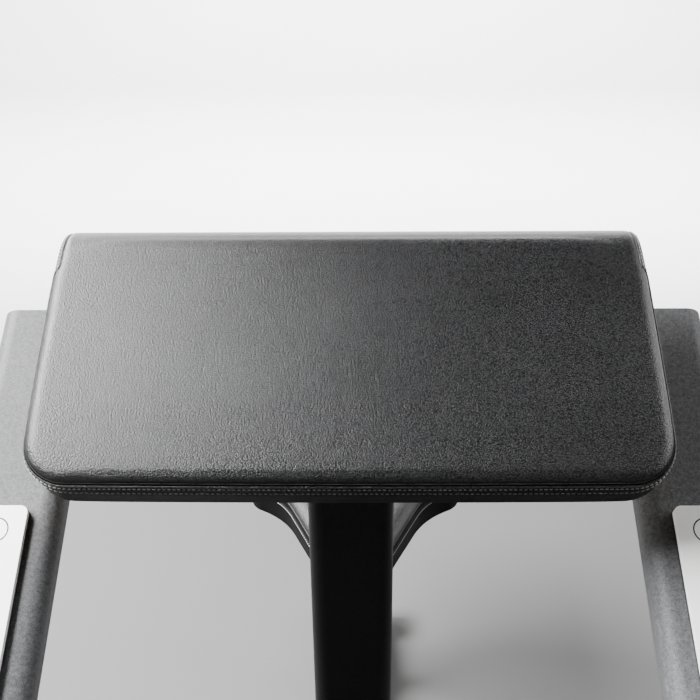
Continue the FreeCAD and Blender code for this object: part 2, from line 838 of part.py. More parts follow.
def hook_shape(thickness, lift, foot, height, width, tip_corner):
    """The bent strip at its full width, with the two corners of its tip rounded."""
    face = hook_profile(thickness, lift, foot, height)
    face.translate(V(-width / 2, 0, 0))
    strip = face.extrude(V(width, 0, 0))
    tips = [edge for edge in strip.Edges
            if edge.Length < thickness * 1.01 and min(v.Z for v in edge.Vertexes) > height - 0.01]
    return strip.makeFillet(tip_corner, tips)


def bar_hook(side):
    sign = SIDES[side]
    plate_size, liner, margin = [of(name).value for name in ("hook_plate", "hook_liner", "hook_liner_margin")]
    foot, height, width = [of(name).value for name in ("hook_foot", "hook_height", "hook_width")]
    corner = of("hook_tip_corner").value
    steel = hook_shape(plate_size, 0, foot, height, width, corner)
    lining = hook_shape(liner, plate_size, foot, height - margin, width - margin * 2, corner - margin)
    for label, shape in (("bar_hook_" + side, steel), ("hook_liner_" + side, lining)):
        place_on_slope(made(label, shape), "beam", of("beam_x") * sign, -beam_length(), 0)


def side_frames(column_body):
    envelopes = {side: beam_envelope(side) for side in SIDES}
    for side in SIDES:
        side_beam(side)
        side_leg(side, envelopes[side])
        wear_plate(side)
        bar_hook(side)
    upper = [beam_caps("beam_upper_cap", of("beam_cap"), side) for side in SIDES]
    group("beam_upper_end_caps", upper)
    lower = [beam_caps("beam_lower_cap", -beam_length(), side) for side in SIDES]
    group("beam_lower_end_caps", lower)
    upper_cross_tube(envelopes, column_body)


# Seat

def seat_board_shape(thickness):
    return Part.Face(seat_outline(of("seat_board_inset").value, 0)).extrude(V(0, 0, thickness))


def seat():
    thickness = of("seat_board").value
    cover, foam = upholstery(seat_form, seat_board_shape, thickness)
    spots = corners(of("seat_screw_across"), of("seat_screw_along"))
    board = seat_board_shape(thickness)
    for x, y in spots:
        board = board.cut(Part.makeCylinder(of("insert_radius").value, thickness, V(x.value, y.value, 0)))
    for label, shape in (("seat_cover", cover), ("seat_foam", foam), ("seat_board", board)):
        place(made(label, shape), 0, of("seat_y"), of("seat_z"))
    mounting = plate("seat_mounting_plate", of("seat_plate_width"), of("seat_plate_length"),
                     of("seat_plate"), of("plate_corner"), spots, of("screw_hole_radius"))
    fasteners = cushion_fasteners("seat", spots, of("seat_board"), of("seat_screw_length"))
    for item, out in zip((mounting,) + fasteners, fastener_heights(of("seat_plate"))):
        place(item, 0, of("seat_y"), of("seat_z") + out)


def seat_post():
    """The square post under the seat, with a row of holes for the pull pin in its back wall."""
    size, wall = of("post_size"), of("post_wall")
    length = of("seat_z") - of("seat_plate") - of("post_bottom")
    body = tube("seat_post", "XY_Plane", size, size, of("post_corner"), wall, length)
    sketch = new_sketch(body, "holes", "XZ_Plane")
    lowest = of("pin_z") - of("post_bottom")
    spots = [(0, lowest - of("hole_pitch") * number) for number in range(SEAT_HOLES)]
    circles(sketch, spots, of("hole_radius"))
    pocket = body.newObject("PartDesign::Pocket", "seat_post_holes")
    pocket.Profile = sketch
    pocket.Type = "ThroughAll"
    before = body.Shape.Volume
    doc.recompute()
    if body.Shape.Volume > before - 1:
        raise RuntimeError("the seat post has no holes")
    place(body, 0, of("seat_y"), of("post_bottom"))


def seat_sleeve():
    """The square sleeve on the floor spine, and the two liners that guide the post in it."""
    floor_top = of("floor_gap") + of("foot_height")
    size, wall = of("sleeve_size"), of("sleeve_wall")
    body = tube("seat_sleeve", "XY_Plane", size, size, of("sleeve_corner"), wall, of("sleeve_top") - floor_top)
    sketch = new_sketch(body, "pin_hole", "XZ_Plane")
    circles(sketch, [(0, of("pin_z") - floor_top)], of("pin_radius") + of("pin_clearance"))
    pocket = body.newObject("PartDesign::Pocket", "seat_sleeve_hole")
    pocket.Profile = sketch
    pocket.Type = "ThroughAll"
    doc.recompute()
    place(body, 0, of("seat_y"), floor_top)
    inner = size - wall * 2
    liner_wall = (inner - of("post_size")) / 2 - of("liner_gap")
    liner = tube("sleeve_liner", "XY_Plane", inner, inner, of("sleeve_corner") - wall, liner_wall,
                 of("liner_height"))
    sketch = new_sketch(liner, "pin_hole", "XZ_Plane")
    from_bottom = of("pin_z") - of("sleeve_top") + of("liner_height")
    circles(sketch, [(0, from_bottom)], of("pin_radius") + of("pin_clearance"))
    hole = liner.newObject("PartDesign::Pocket", "sleeve_liner_hole")
    hole.Profile = sketch
    hole.Type = "ThroughAll"
    doc.recompute()
    place(liner, 0, of("seat_y"), of("sleeve_top") - of("liner_height"))
    lip = tube("sleeve_liner_lip", "XY_Plane", size, size, of("sleeve_corner"),
               wall + liner_wall, of("liner_lip"))
    place(lip, 0, of("seat_y"), of("sleeve_top"))


# Pull pin

def along_y(body, start):
    """Lays a turned piece along +Y on the pin's axis, from a distance behind the post's axis."""
    return place(body, 0, of("seat_y") + start, of("pin_z"), X_AXIS, Size("(-90)", -90))


def pull_pin():
    """The spring pin behind the sleeve: barrel, plunger with its collar, spring and knob."""
    wall_face = of("sleeve_size") / 2
    length, end = of("barrel_length"), of("barrel_end")
    bore, radius, pin, chamfer = of("barrel_bore"), of("barrel_radius"), of("pin_radius"), of("barrel_chamfer")
    eye = pin + of("pin_clearance")
    barrel = revolve("pin_barrel", [
        (bore, 0), (radius, 0), (radius, length - chamfer), (radius - chamfer, length),
        (eye, length), (eye, length - end), (bore, length - end)])
    along_y(barrel, wall_face)
    reach = of("pin_reach")
    collar_radius, collar_start = of("collar_radius"), reach + of("collar_gap")
    collar_end = collar_start + of("collar_length")
    stem_end = reach + length + of("knob_gap")
    plunger = revolve("pin_plunger", [
        (0, 0), (of("pin_tip_radius"), 0), (pin, of("pin_tip_length")), (pin, collar_start),
        (collar_radius, collar_start), (collar_radius, collar_end), (pin, collar_end), (pin, stem_end),
        (0, stem_end)])
    along_y(plunger, wall_face - reach)
    knob_length, knob = of("knob_length"), of("knob_radius")
    grip = revolve("pin_knob", [(knob * out, knob_length * along) for out, along in KNOB_OUTLINE])
    along_y(grip, wall_face + length + of("knob_gap"))
    pin_spring(wall_face + collar_end - reach, length - end - collar_end + reach)


def pin_spring(start, room):
    """A round-wire coil between the plunger's collar and the barrel's end wall."""
    wire, gap = of("spring_wire").value, of("spring_gap").value
    height = room.value - wire - gap * 2
    coil = (of("pin_radius").value + of("barrel_bore").value) / 2
    helix = Part.makeHelix(height / of("spring_turns").value, height, coil)
    section = Part.Wire(Part.makeCircle(wire / 2, V(coil, 0, 0), V(0, 1, 0)))
    sweep = Part.Wire(helix).makePipeShell([section], True, True)
    along_y(made("pin_spring", sweep), start + of("spring_wire") / 2 + of("spring_gap"))


# The whole bench

def build():
    arm_pad()
    column_body = column()
    floor_frame()
    side_frames(column_body)
    seat()
    seat_post()
    seat_sleeve()
    pull_pin()
    doc.recompute()


def check_objects():
    for item in doc.Objects:
        if "Invalid" in item.State or "Error" in item.State:
            raise RuntimeError("%s did not build: %s" % (item.Label, item.State))


NODES = [
    "arm_pad_cover", "arm_pad_foam", "arm_pad_board", "arm_pad_inserts", "arm_pad_mounting_plate",
    "arm_pad_washers", "arm_pad_screws", "column", "floor_spine", "front_cross_foot", "front_foot_end_caps",
    "rear_foot", "rear_foot_end_caps", "front_rubber_feet", "rear_rubber_feet", "upper_cross_tube",
    "side_beam_left", "side_beam_right", "side_leg_left", "side_leg_right", "beam_upper_end_caps",
    "beam_lower_end_caps", "wear_plate_left", "wear_plate_right", "wear_plate_screws_left",
    "wear_plate_screws_right", "wear_plate_caps_left", "wear_plate_caps_right", "bar_hook_left",
    "bar_hook_right", "hook_liner_left", "hook_liner_right", "seat_cover", "seat_foam", "seat_board",
    "seat_inserts", "seat_mounting_plate", "seat_washers", "seat_screws", "seat_post", "seat_sleeve",
    "sleeve_liner", "sleeve_liner_lip", "pin_barrel", "pin_plunger", "pin_knob", "pin_spring",
]


def export():
    os.makedirs("parts", exist_ok=True)
    pieces = {item.Label: item for item in doc.Objects if item.Label in NODES}
    for label in NODES:
        shape = pieces[label].Shape
        if shape.isNull() or not shape.isValid() or not shape.Solids:
            raise RuntimeError("%s has no valid solid" % label)
    for label in NODES:
        pieces[label].Shape.exportStep("parts/%s.step" % label)
    whole = Part.makeCompound([pieces[label].Shape for label in NODES])
    print(len(NODES), "pieces", whole.BoundBox)


build()
check_objects()
export()
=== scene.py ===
import math

import bpy
import numpy as np
from mathutils import Matrix, Vector
from mathutils.bvhtree import BVHTree


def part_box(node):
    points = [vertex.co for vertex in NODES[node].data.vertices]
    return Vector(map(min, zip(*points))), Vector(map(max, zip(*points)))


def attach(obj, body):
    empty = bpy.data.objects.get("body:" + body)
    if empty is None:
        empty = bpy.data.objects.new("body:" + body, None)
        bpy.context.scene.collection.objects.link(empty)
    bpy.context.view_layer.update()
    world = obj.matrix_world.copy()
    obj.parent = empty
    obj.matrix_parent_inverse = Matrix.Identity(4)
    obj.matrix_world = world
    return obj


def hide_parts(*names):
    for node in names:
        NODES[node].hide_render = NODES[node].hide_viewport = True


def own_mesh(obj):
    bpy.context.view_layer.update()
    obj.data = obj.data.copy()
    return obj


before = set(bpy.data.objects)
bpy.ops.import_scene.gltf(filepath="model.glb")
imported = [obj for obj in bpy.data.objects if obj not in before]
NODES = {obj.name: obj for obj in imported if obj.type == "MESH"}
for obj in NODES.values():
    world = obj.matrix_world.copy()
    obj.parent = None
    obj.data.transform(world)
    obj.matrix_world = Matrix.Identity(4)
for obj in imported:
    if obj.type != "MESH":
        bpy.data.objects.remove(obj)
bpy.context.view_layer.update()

# Sizes in metres, on the CAD frame: +X right, +Y towards the lifter, +Z up

# Arm pad, given across, up its slope and out of its board
PAD_SLOPE = math.radians(32)
PAD_ORIGIN = np.array([0, -0.1815, 0.778])
PAD_HALF_WIDTH = 0.320
PAD_CORNER = 0.048
PAD_FACE = 0.051
PAD_CROWN = 0.005
PAD_ROLL = 0.048
PAD_ROLL_CENTRE = 0.269
PAD_EDGE_ROLL = 0.016
PAD_FRONT_ROLL = 0.014
PAD_FRONT_BOW = 0.0017
PAD_BOW_LENGTH = 0.15
PAD_SEAM_HEIGHT = 0.033
PAD_DRAW_IN = 0.003
PAD_STEP = 0.005
PAD_VOXEL = 0.005
PAD_WALL_RINGS = 12
# The line in the middle of the face where the form's rings close
PAD_MIDDLE_HALF = 0.2
PAD_MIDDLE_ALONG = 0.16
# The wall isn't drawn in nearer to the back than this
PAD_BACK_MARGIN = 0.002
# Sewn lines: how far down the edge they lie at the front, along the sides and over the roll
PAD_SEAM = 0.0125, 0.0178, 0.0062
PAD_RIDGE = 0.0160, 0.0212, 0.0082
PAD_UPPER_ROW = 0.0195, 0.0262, 0.0106
PAD_LOWER_ROW = 0.0300, 0.0345, 0.0142
# The lines go from their front to their side depth over this length, then step up to the roll
PAD_BEND_LENGTH = 0.075
PAD_STEP_START = 0.239
PAD_STEP_LENGTH = 0.010
PAD_GROOVE_DEPTH, PAD_GROOVE_WIDTH = 0.0009, 0.0022
PAD_SEAM_RADIUS = 0.0005
PAD_RIDGE_RADIUS = 0.0012
PAD_UPPER_PITCH = 0.0048
PAD_LOWER_PITCH = 0.0051
# The sewn edge's path: its turn over the roll, where its side starts below the roll's centre, and how
# many points it has over the roll, down a side, round a corner and from there to the front's middle
PAD_OVER_START, PAD_OVER_END = 4, 88
PAD_SIDE_START = 0.004
OVER_POINTS, SIDE_POINTS, CORNER_POINTS, FRONT_POINTS = 24, 60, 25, 59

# Beams and wear plates
BEAM_SLOPE = math.radians(30)
BEAM_ORIGIN = np.array([0, 0.076, 0.8564])
WEAR_X = 0.367
# Height of the black band painted round each wear plate's foot: painted shadow where the plate meets the beam
WEAR_FOOT_SHADOW = 0.0035
# Painted shadow round each wear cap: the dark ring's radius, width, flatness and points
CAP_SHADOW_RADIUS = 0.0130
CAP_SHADOW_WIDTH = 0.0015
CAP_SHADOW_FLATNESS = 0.2
CAP_SHADOW_POINTS = 72

# Seat, given from the middle of its board's underside
SEAT_ORIGIN = np.array([0, 0.289, 0.414])
SEAT_THICKNESS = 0.068
SEAT_DOME = 2.4
SEAT_EDGE_ROLL = 0.018
SEAT_SEAM_HEIGHT = 0.037
SEAT_DRAW_IN = 0.005
SEAT_STEP = 0.004
SEAT_VOXEL = 0.0045
SEAT_WALL_RINGS = 14
SEAT_UNDER_MIDDLE = 0.03
SEAT_OUTLINE = [(0, -0.212), (0.051, -0.179), (0.094, -0.085), (0.149, -0.027), (0.168, 0),
                (0.178, 0.075), (0.112, 0.1717), (0, 0.186)]
# The line along the middle of the seat where the form's rings close: it widens from the nose to the back
SEAT_MIDDLE_HALF = 0.07
SEAT_MIDDLE_START, SEAT_MIDDLE_END = -0.16, 0.09
SEAT_WIDEN_START, SEAT_WIDEN_LENGTH = -0.1, 0.15
# Sewn lines round the seat: how far down its edge they lie
SEAT_RIDGE = 0.0225
SEAT_SEAM = 0.0355
SEAT_ROW = 0.0385
# How far down the seat's edge its painted shade starts
SEAT_SHADE_DEPTH = 0.024
SEAT_GROOVE_DEPTH, SEAT_GROOVE_WIDTH = 0.0013, 0.0032
SEAT_SEAM_RADIUS = 0.0008
SEAT_RIDGE_RADIUS = 0.0012
SEAT_PITCH = 0.0048

# Pull pin's spring: it leans on the barrel's end wall
SPRING_WIRE_RADIUS = 0.0006
SPRING_TURNS = 6
SPRING_POINTS = 40

# Covers: the lowest part stays where it is stapled, and the rest swells between these limits
HELD_HEIGHT = 0.004
COVER_INSET = 0.0005
COVER_BELOW = 0.005
LEAST_HEIGHT = 0.002
SWELL_OUT = 0.0008
SWELL_IN = 0.0002
# The underside is level at its rim, and just above that level further in
RIM_WIDTH = 0.010
UNDER_LIFT = 0.0015
# Painted shade on a cover's sides fades in over this distance above a seam; the attribute below marks it
SHADE_FADE = 0.004
SHADE_ATTRIBUTE = "band"
# Points of an outline's arc, and rings of a form: over the rolled edge, then in to the middle
ARC_POINTS = 30
ROLL_RINGS, INNER_RINGS = 18, 25
# Points of a seam that are measured at once
SEAM_CHUNK = 60

# The cloth simulation of a cover
CLOTH_FRAMES = 12
CLOTH_QUALITY = 6
CLOTH_MASS = 0.3
CLOTH_PRESSURE = 4.0
CLOTH_STIFFNESS = 20
CLOTH_BENDING = 2
EVENING_ROUNDS = 70

# The vinyl's grain, per metre: its cells are squeezed up the slope and across the thickness
VINYL_CELLS = 620
VINYL_CREASES = 1150
VINYL_SQUEEZE = 1.35
# The plywood's plies, in radians per metre
PLY_RATE = 4200

# Threads
STITCH_LENGTH = 0.0033
STITCH_RADIUS = 0.00062
STITCH_LIFT = 0.0002
STITCH_SIDES = 6
STRIP_STEP = 0.0025
STRIP_SIDES = 8
STRIP_FLATNESS = 0.75


# Places

def on_slope(points, origin, slope):
    """Turns points given across, along and out of a slope into places in the bench's frame:
    y = origin y + along cos - out sin, z = origin z + along sin + out cos."""
    across, along, out = np.moveaxis(np.asarray(points, float), -1, 0)
    y = origin[1] + along * math.cos(slope) - out * math.sin(slope)
    z = origin[2] + along * math.sin(slope) + out * math.cos(slope)
    return np.stack([across, y, z], axis=-1)


def on_pad(points):
    return on_slope(points, PAD_ORIGIN, PAD_SLOPE)


def on_beam(points):
    return on_slope(points, BEAM_ORIGIN, BEAM_SLOPE)


def on_seat(points):
    return np.asarray(points, float) + SEAT_ORIGIN


def off_slope(places, origin, slope):
    """The inverse of on_slope: places in the bench's frame as across, along and out."""
    x, y, z = np.moveaxis(np.asarray(places, float) - origin, -1, 0)
    along = y * math.cos(slope) + z * math.sin(slope)
    out = -y * math.sin(slope) + z * math.cos(slope)
    return np.stack([x, along, out], axis=-1)


def off_pad(places):
    return off_slope(places, PAD_ORIGIN, PAD_SLOPE)


# Meshes

def in_scene(name, data):
    thing = bpy.data.objects.new(name, data)
    bpy.context.scene.collection.objects.link(thing)
    return thing


def new_piece(name, vertices, faces, material, body="frame"):
    """Makes one smooth piece from arrays of vertices and faces, with its material and body."""
    mesh = bpy.data.meshes.new(name)
    mesh.from_pydata(np.asarray(vertices).tolist(), [], [list(map(int, face)) for face in faces])
    mesh.polygons.foreach_set("use_smooth", [True] * len(mesh.polygons))
    mesh.update()
    piece = in_scene(name, mesh)
    mesh.materials.append(material)
    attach(piece, body)
    return piece


def grid_faces(rows, columns, closed_rows=False):
    """Four-sided faces between the points of a row of closed rings, numbered ring by ring."""
    i, j = np.meshgrid(np.arange(rows if closed_rows else rows - 1), np.arange(columns), indexing="ij")
    below, beside = (i + 1) % rows, (j + 1) % columns
    quads = [i * columns + j, i * columns + beside, below * columns + beside, below * columns + j]
    return np.stack(quads, axis=-1).reshape(-1, 4)


def unit(vectors):
    return vectors / np.maximum(np.linalg.norm(vectors, axis=-1, keepdims=True), 1e-12)


def path_lengths(points, closed=False):
    """The distance along a path at each of its points, and its whole length."""
    ahead = np.roll(points, -1, axis=0) if closed else points[1:]
    steps = np.linalg.norm(ahead - points[:len(ahead)], axis=1)
    total = np.concatenate([[0], np.cumsum(steps)])
    return total[:len(points)], total[-1]


def path_tangents(points, closed=False):
    if closed:
        return unit(np.roll(points, -1, axis=0) - np.roll(points, 1, axis=0))
    return unit(np.gradient(points, axis=0))


def resample(points, normals, step, closed=False):
    """Points a step apart along a path, with the path's normals turned smoothly between them."""
    at, total = path_lengths(points, closed)
    if closed:
        points, normals = np.vstack([points, points[:1]]), np.vstack([normals, normals[:1]])
        at = np.append(at, total)
    count = max(2, int(round(total / step)))
    where = np.linspace(0, total, count, endpoint=not closed)
    along = np.stack([np.interp(where, at, points[:, k]) for k in range(3)], axis=1)
    out = np.stack([np.interp(where, at, normals[:, k]) for k in range(3)], axis=1)
    return along, unit(out)


def tube_along(name, points, normals, radius, material, body, closed=False, flat=1.0):
    """A round strip carried along a path: path(s) + radius (cos a side(s) - flat sin a normal(s))."""
    tangents = path_tangents(points, closed)
    side = unit(np.cross(tangents, normals))
    normals = unit(np.cross(side, tangents))
    angle = np.linspace(0, 2 * math.pi, STRIP_SIDES, endpoint=False)
    ring = np.cos(angle)[:, None] * side[:, None] - flat * np.sin(angle)[:, None] * normals[:, None]
    vertices = (points[:, None] + radius * ring).reshape(-1, 3)
    faces = grid_faces(len(points), STRIP_SIDES, closed_rows=closed).tolist()
    if not closed:
        faces.append(list(range(STRIP_SIDES))[::-1])
        faces.append([(len(points) - 1) * STRIP_SIDES + k for k in range(STRIP_SIDES)])
    return new_piece(name, vertices, faces, material, body)


def one_stitch():
    """A small thread stitch lying along x, with its two ends rounded off."""
    along = np.array([-0.5, -0.42, -0.2, 0.2, 0.42, 0.5]) * STITCH_LENGTH
    size = np.array([0.25, 0.75, 1, 1, 0.75, 0.25]) * STITCH_RADIUS
    angle = np.linspace(0, 2 * math.pi, STITCH_SIDES, endpoint=False)
    vertices = np.stack([np.repeat(along, STITCH_SIDES),
                         (size[:, None] * np.cos(angle)).ravel(),
                         (size[:, None] * np.sin(angle)).ravel()], axis=1)
    faces = grid_faces(len(along), STITCH_SIDES)[:, ::-1].tolist()
    faces.append(list(range(STITCH_SIDES)))
    faces.append([(len(along) - 1) * STITCH_SIDES + k for k in range(STITCH_SIDES)][::-1])
    return vertices, faces


def stitch_row(name, points, normals, body, pitch, closed=False):
    """A row of thread stitches: the same stitch set along the path at each pitch, turned to its tangent."""
    spots, out = resample(points, normals, pitch, closed)
    tangents = path_tangents(spots, closed)
    side = unit(np.cross(out, tangents))
    out = unit(np.cross(tangents, side))
    shape, faces = one_stitch()
    spots = spots + out * STITCH_LIFT
    vertices = (spots[:, None] + shape[None, :, :1] * tangents[:, None] + shape[None, :, 1:2] * side[:, None]
                + shape[None, :, 2:] * out[:, None])
    count = len(shape)
    every = [[corner + count * row for corner in face] for row in range(len(spots)) for face in faces]
    return new_piece(name, vertices.reshape(-1, 3), every, THREAD, body)


# Materials

class Finish:
    """A Principled material and short ways of adding nodes to it."""

    def __init__(self, name, **sockets):
        self.material = bpy.data.materials.new(name)
        self.material.use_nodes = True
        self.nodes = self.material.node_tree.nodes
        self.links = self.material.node_tree.links
        self.shader = self.nodes["Principled BSDF"]
        for socket, value in sockets.items():
            self.set(socket.replace("_", " "), value)

    def set(self, socket, value):
        target = self.shader.inputs[socket]
        if hasattr(value, "is_output"):
            self.links.new(value, target)
        elif hasattr(value, "__len__") and len(value) == 3 and target.type == "RGBA":
            target.default_value = (*value, 1)
        else:
            target.default_value = value

    def add(self, kind, **inputs):
        node = self.nodes.new(kind)
        for name, value in inputs.items():
            socket = node.inputs[name.replace("_", " ")]
            if hasattr(value, "is_output"):
                self.links.new(value, socket)
            else:
                socket.default_value = value
        return node

    def place(self, turn=(0, 0, 0), scale=(1, 1, 1)):
        """Object coordinates in metres, turned and stretched."""
        source = self.nodes.new("ShaderNodeTexCoord").outputs["Object"]
        mapping = self.add("ShaderNodeMapping", Vector=source, Rotation=turn, Scale=scale)
        return mapping.outputs["Vector"]

    def noise(self, vector, scale, detail=2.0, roughness=0.5):
        node = self.add("ShaderNodeTexNoise", Vector=vector, Scale=scale, Detail=detail, Roughness=roughness)
        return node.outputs["Fac"]

    def cells(self, vector, scale):
        """The distance from the middle of the nearest of many scattered cells."""
        node = self.add("ShaderNodeTexVoronoi", Vector=vector, Scale=scale)
        return node.outputs["Distance"]

    def spread(self, value, low, high, to_low=0.0, to_high=1.0):
        node = self.add("ShaderNodeMapRange", Value=value)
        for name, number in (("From Min", low), ("From Max", high), ("To Min", to_low), ("To Max", to_high)):
            node.inputs[name].default_value = number
        return node.outputs["Result"]

    def maths(self, operation, first, second=0.0):
        node = self.nodes.new("ShaderNodeMath")
        node.operation = operation
        for socket, value in zip(node.inputs, (first, second)):
            if hasattr(value, "is_output"):
                self.links.new(value, socket)
            else:
                socket.default_value = value
        return node.outputs["Value"]

    def weighted(self, first, share, second, rest):
        return self.maths("ADD", self.maths("MULTIPLY", first, share), self.maths("MULTIPLY", second, rest))

    def blend(self, factor, first, second):
        """A colour between two colours."""
        node = self.nodes.new("ShaderNodeMix")
        node.data_type = "RGBA"
        sockets = [node.inputs[0], node.inputs[6], node.inputs[7]]
        for socket, value in zip(sockets, (factor, first, second)):
            if hasattr(value, "is_output"):
                self.links.new(value, socket)
            elif hasattr(value, "__len__"):
                socket.default_value = (*value, 1)
            else:
                socket.default_value = value
        return node.outputs[2]

    def part_of(self, vector, letter):
        node = self.add("ShaderNodeSeparateXYZ", Vector=vector)
        return node.outputs[letter]

    def bump(self, height, strength, distance, under=None):
        node = self.add("ShaderNodeBump", Height=height, Strength=strength, Distance=distance)
        if under is not None:
            self.links.new(under, node.inputs["Normal"])
        return node.outputs["Normal"]


def grained_vinyl(name, turn):
    """Black pebbled upholstery vinyl: rounded cells about 1.6 mm by 1.2 mm, with finer creases. The band from
    the seam down, which the cover's own attribute marks, is painted blacker and duller than the face: painted
    shade for the little light that reaches the cushion's sides."""
    finish = Finish(name)
    band = finish.nodes.new("ShaderNodeAttribute")
    band.attribute_name = SHADE_ATTRIBUTE
    band = band.outputs["Fac"]
    place = finish.place(turn=turn, scale=(1, VINYL_SQUEEZE, VINYL_SQUEEZE))
    pebble = finish.cells(place, VINYL_CELLS)
    fine = finish.noise(place, VINYL_CREASES, 2)
    broad = finish.noise(place, 9, 3)
    height = finish.weighted(pebble, -1.0, fine, 0.9)
    tone = finish.weighted(height, 0.8, broad, 0.2)
    colour = finish.blend(finish.spread(tone, -0.05, 0.5), (0.001, 0.001, 0.0012), (0.026, 0.026, 0.027))
    # Painted shade: from the seam down the vinyl is made near black, rougher and much less shiny
    finish.set("Base Color", finish.blend(band, colour, (0.002, 0.002, 0.002)))
    gloss = finish.spread(fine, 0.3, 0.7, 0.28, 0.38)
    finish.set("Roughness", finish.maths("ADD", gloss, finish.maths("MULTIPLY", band, 0.3)))
    finish.set("Specular IOR Level", finish.spread(band, 0, 1, 0.42, 0.08))
    finish.set("Normal", finish.bump(height, 0.55, 0.0006))
    return finish.material


def speckled_coat(name, dark, light, roughness=(0.40, 0.55), specular=0.5):
    """Textured powder coat: a fine orange-peel with lighter and darker specks under a millimetre across."""
    finish = Finish(name, Specular_IOR_Level=specular)
    place = finish.place()
    speck = finish.noise(place, 1100, 2)
    mottle = finish.noise(place, 260, 3, 0.6)
    broad = finish.noise(place, 14, 2)
    mix = finish.weighted(speck, 0.6, mottle, 0.4)
    finish.set("Base Color", finish.blend(finish.spread(mix, 0.38, 0.62), dark, light))
    finish.set("Roughness", finish.spread(finish.weighted(mottle, 0.6, broad, 0.4), 0.3, 0.7, *roughness))
    peel = finish.bump(mottle, 0.22, 0.0006)
    finish.set("Normal", finish.bump(speck, 0.25, 0.0002, peel))
    return finish.material


def plate_with_painted_foot_shadow(name):
    """Dense white plastic, scuffed along the way the bar slides, with a black band painted round its foot:
    painted shadow where the plate meets the beam.
    """
    finish = Finish(name, Specular_IOR_Level=0.45)
    turn = (-BEAM_SLOPE, 0, 0)
    height_over_beam = finish.part_of(finish.place(turn=turn), "Z")
    surface = -BEAM_ORIGIN[1] * math.sin(BEAM_SLOPE) + BEAM_ORIGIN[2] * math.cos(BEAM_SLOPE)
    above_foot_shadow = finish.maths("GREATER_THAN", height_over_beam, surface + WEAR_FOOT_SHADOW)
    scuffs = finish.noise(finish.place(turn=turn, scale=(1, 0.03, 1)), 700, 3, 0.6)
    cloud = finish.noise(finish.place(), 30, 3)
    white = finish.blend(finish.spread(cloud, 0.3, 0.7), (0.88, 0.88, 0.87), (0.93, 0.93, 0.92))
    white = finish.blend(finish.spread(scuffs, 0.64, 0.78, 0, 0.5), white, (0.72, 0.72, 0.71))
    # Painted shadow: below the foot height the plate is coloured near black
    finish.set("Base Color", finish.blend(above_foot_shadow, (0.012, 0.012, 0.013), white))
    finish.set("Roughness", finish.spread(scuffs, 0.35, 0.7, 0.34, 0.55))
    finish.set("Normal", finish.bump(scuffs, 0.08, 0.0003))
    return finish.material


def moulded(name, colour, roughness, grain=1300, strength=0.2, distance=0.0002):
    """Moulded plastic or rubber: a fine spark-eroded grain with slow patches of gloss and tone."""
    finish = Finish(name)
    place = finish.place()
    fine = finish.noise(place, grain, 3)
    patch = finish.noise(place, 35, 3)
    lighter = tuple(min(1.0, c * 1.35 + 0.004) for c in colour)
    finish.set("Base Color", finish.blend(finish.spread(patch, 0.3, 0.7), colour, lighter))
    finish.set("Roughness", finish.spread(patch, 0.3, 0.7, roughness - 0.06, roughness + 0.06))
    finish.set("Normal", finish.bump(fine, strength, distance))
    return finish.material


def zinc_plate(name):
    """Zinc-plated steel: a slightly blue grey metal with soft crystals and fine turning marks."""
    finish = Finish(name, Metallic=1.0)
    place = finish.place()
    crystals = finish.cells(place, 420)
    fine = finish.noise(place, 2200, 2)
    finish.set("Base Color", finish.blend(crystals, (0.50, 0.52, 0.55), (0.66, 0.68, 0.70)))
    finish.set("Roughness", finish.spread(crystals, 0.0, 0.8, 0.24, 0.42))
    finish.set("Normal", finish.bump(fine, 0.12, 0.0001))
    return finish.material


def polished_chrome(name):
    """Chromed tube: a bright metal with faint upright rub marks from the sleeve."""
    finish = Finish(name, Metallic=1.0)
    rubs = finish.noise(finish.place(scale=(1, 1, 0.02)), 900, 3, 0.6)
    haze = finish.noise(finish.place(), 25, 2)
    finish.set("Base Color", finish.blend(haze, (0.60, 0.61, 0.62), (0.72, 0.73, 0.74)))
    finish.set("Roughness", finish.spread(rubs, 0.35, 0.75, 0.07, 0.26))
    finish.set("Normal", finish.bump(rubs, 0.04, 0.0001))
    return finish.material


def birch_ply(name, turn):
    """Birch plywood: long grain on the faces, and on the edges a dark and a light ply every 1.5 mm,
    as sin(rate z) repeats after 2 pi / rate."""
    finish = Finish(name, Roughness=0.62)
    place = finish.place(turn=turn, scale=(1, 0.08, 1))
    grain = finish.noise(place, 160, 4, 0.6)
    thickness = finish.part_of(finish.place(turn=turn), "Z")
    plies = finish.maths("SINE", finish.maths("MULTIPLY", thickness, PLY_RATE))
    wood = finish.blend(finish.spread(grain, 0.3, 0.7), (0.42, 0.28, 0.16), (0.60, 0.44, 0.28))
    finish.set("Base Color", finish.blend(finish.spread(plies, 0.2, 0.6, 0, 0.25), wood, (0.28, 0.17, 0.09)))
    finish.set("Normal", finish.bump(grain, 0.2, 0.0003))
    return finish.material


def twisted_thread(name, colour):
    """Bonded sewing thread with its fine twist."""
    finish = Finish(name, Roughness=0.55)
    twist = finish.noise(finish.place(), 3000, 2)
    darker = tuple(c * 0.7 for c in colour)
    finish.set("Base Color", finish.blend(twist, darker, colour))
    finish.set("Normal", finish.bump(twist, 0.3, 0.0002))
    return finish.material


def plain_floor(name):
    """A pale matt studio floor."""
    finish = Finish(name, Roughness=0.75)
    cloud = finish.noise(finish.place(), 1.5, 3)
    finish.set("Base Color", finish.blend(cloud, (0.102, 0.102, 0.102), (0.112, 0.112, 0.112)))
    return finish.material


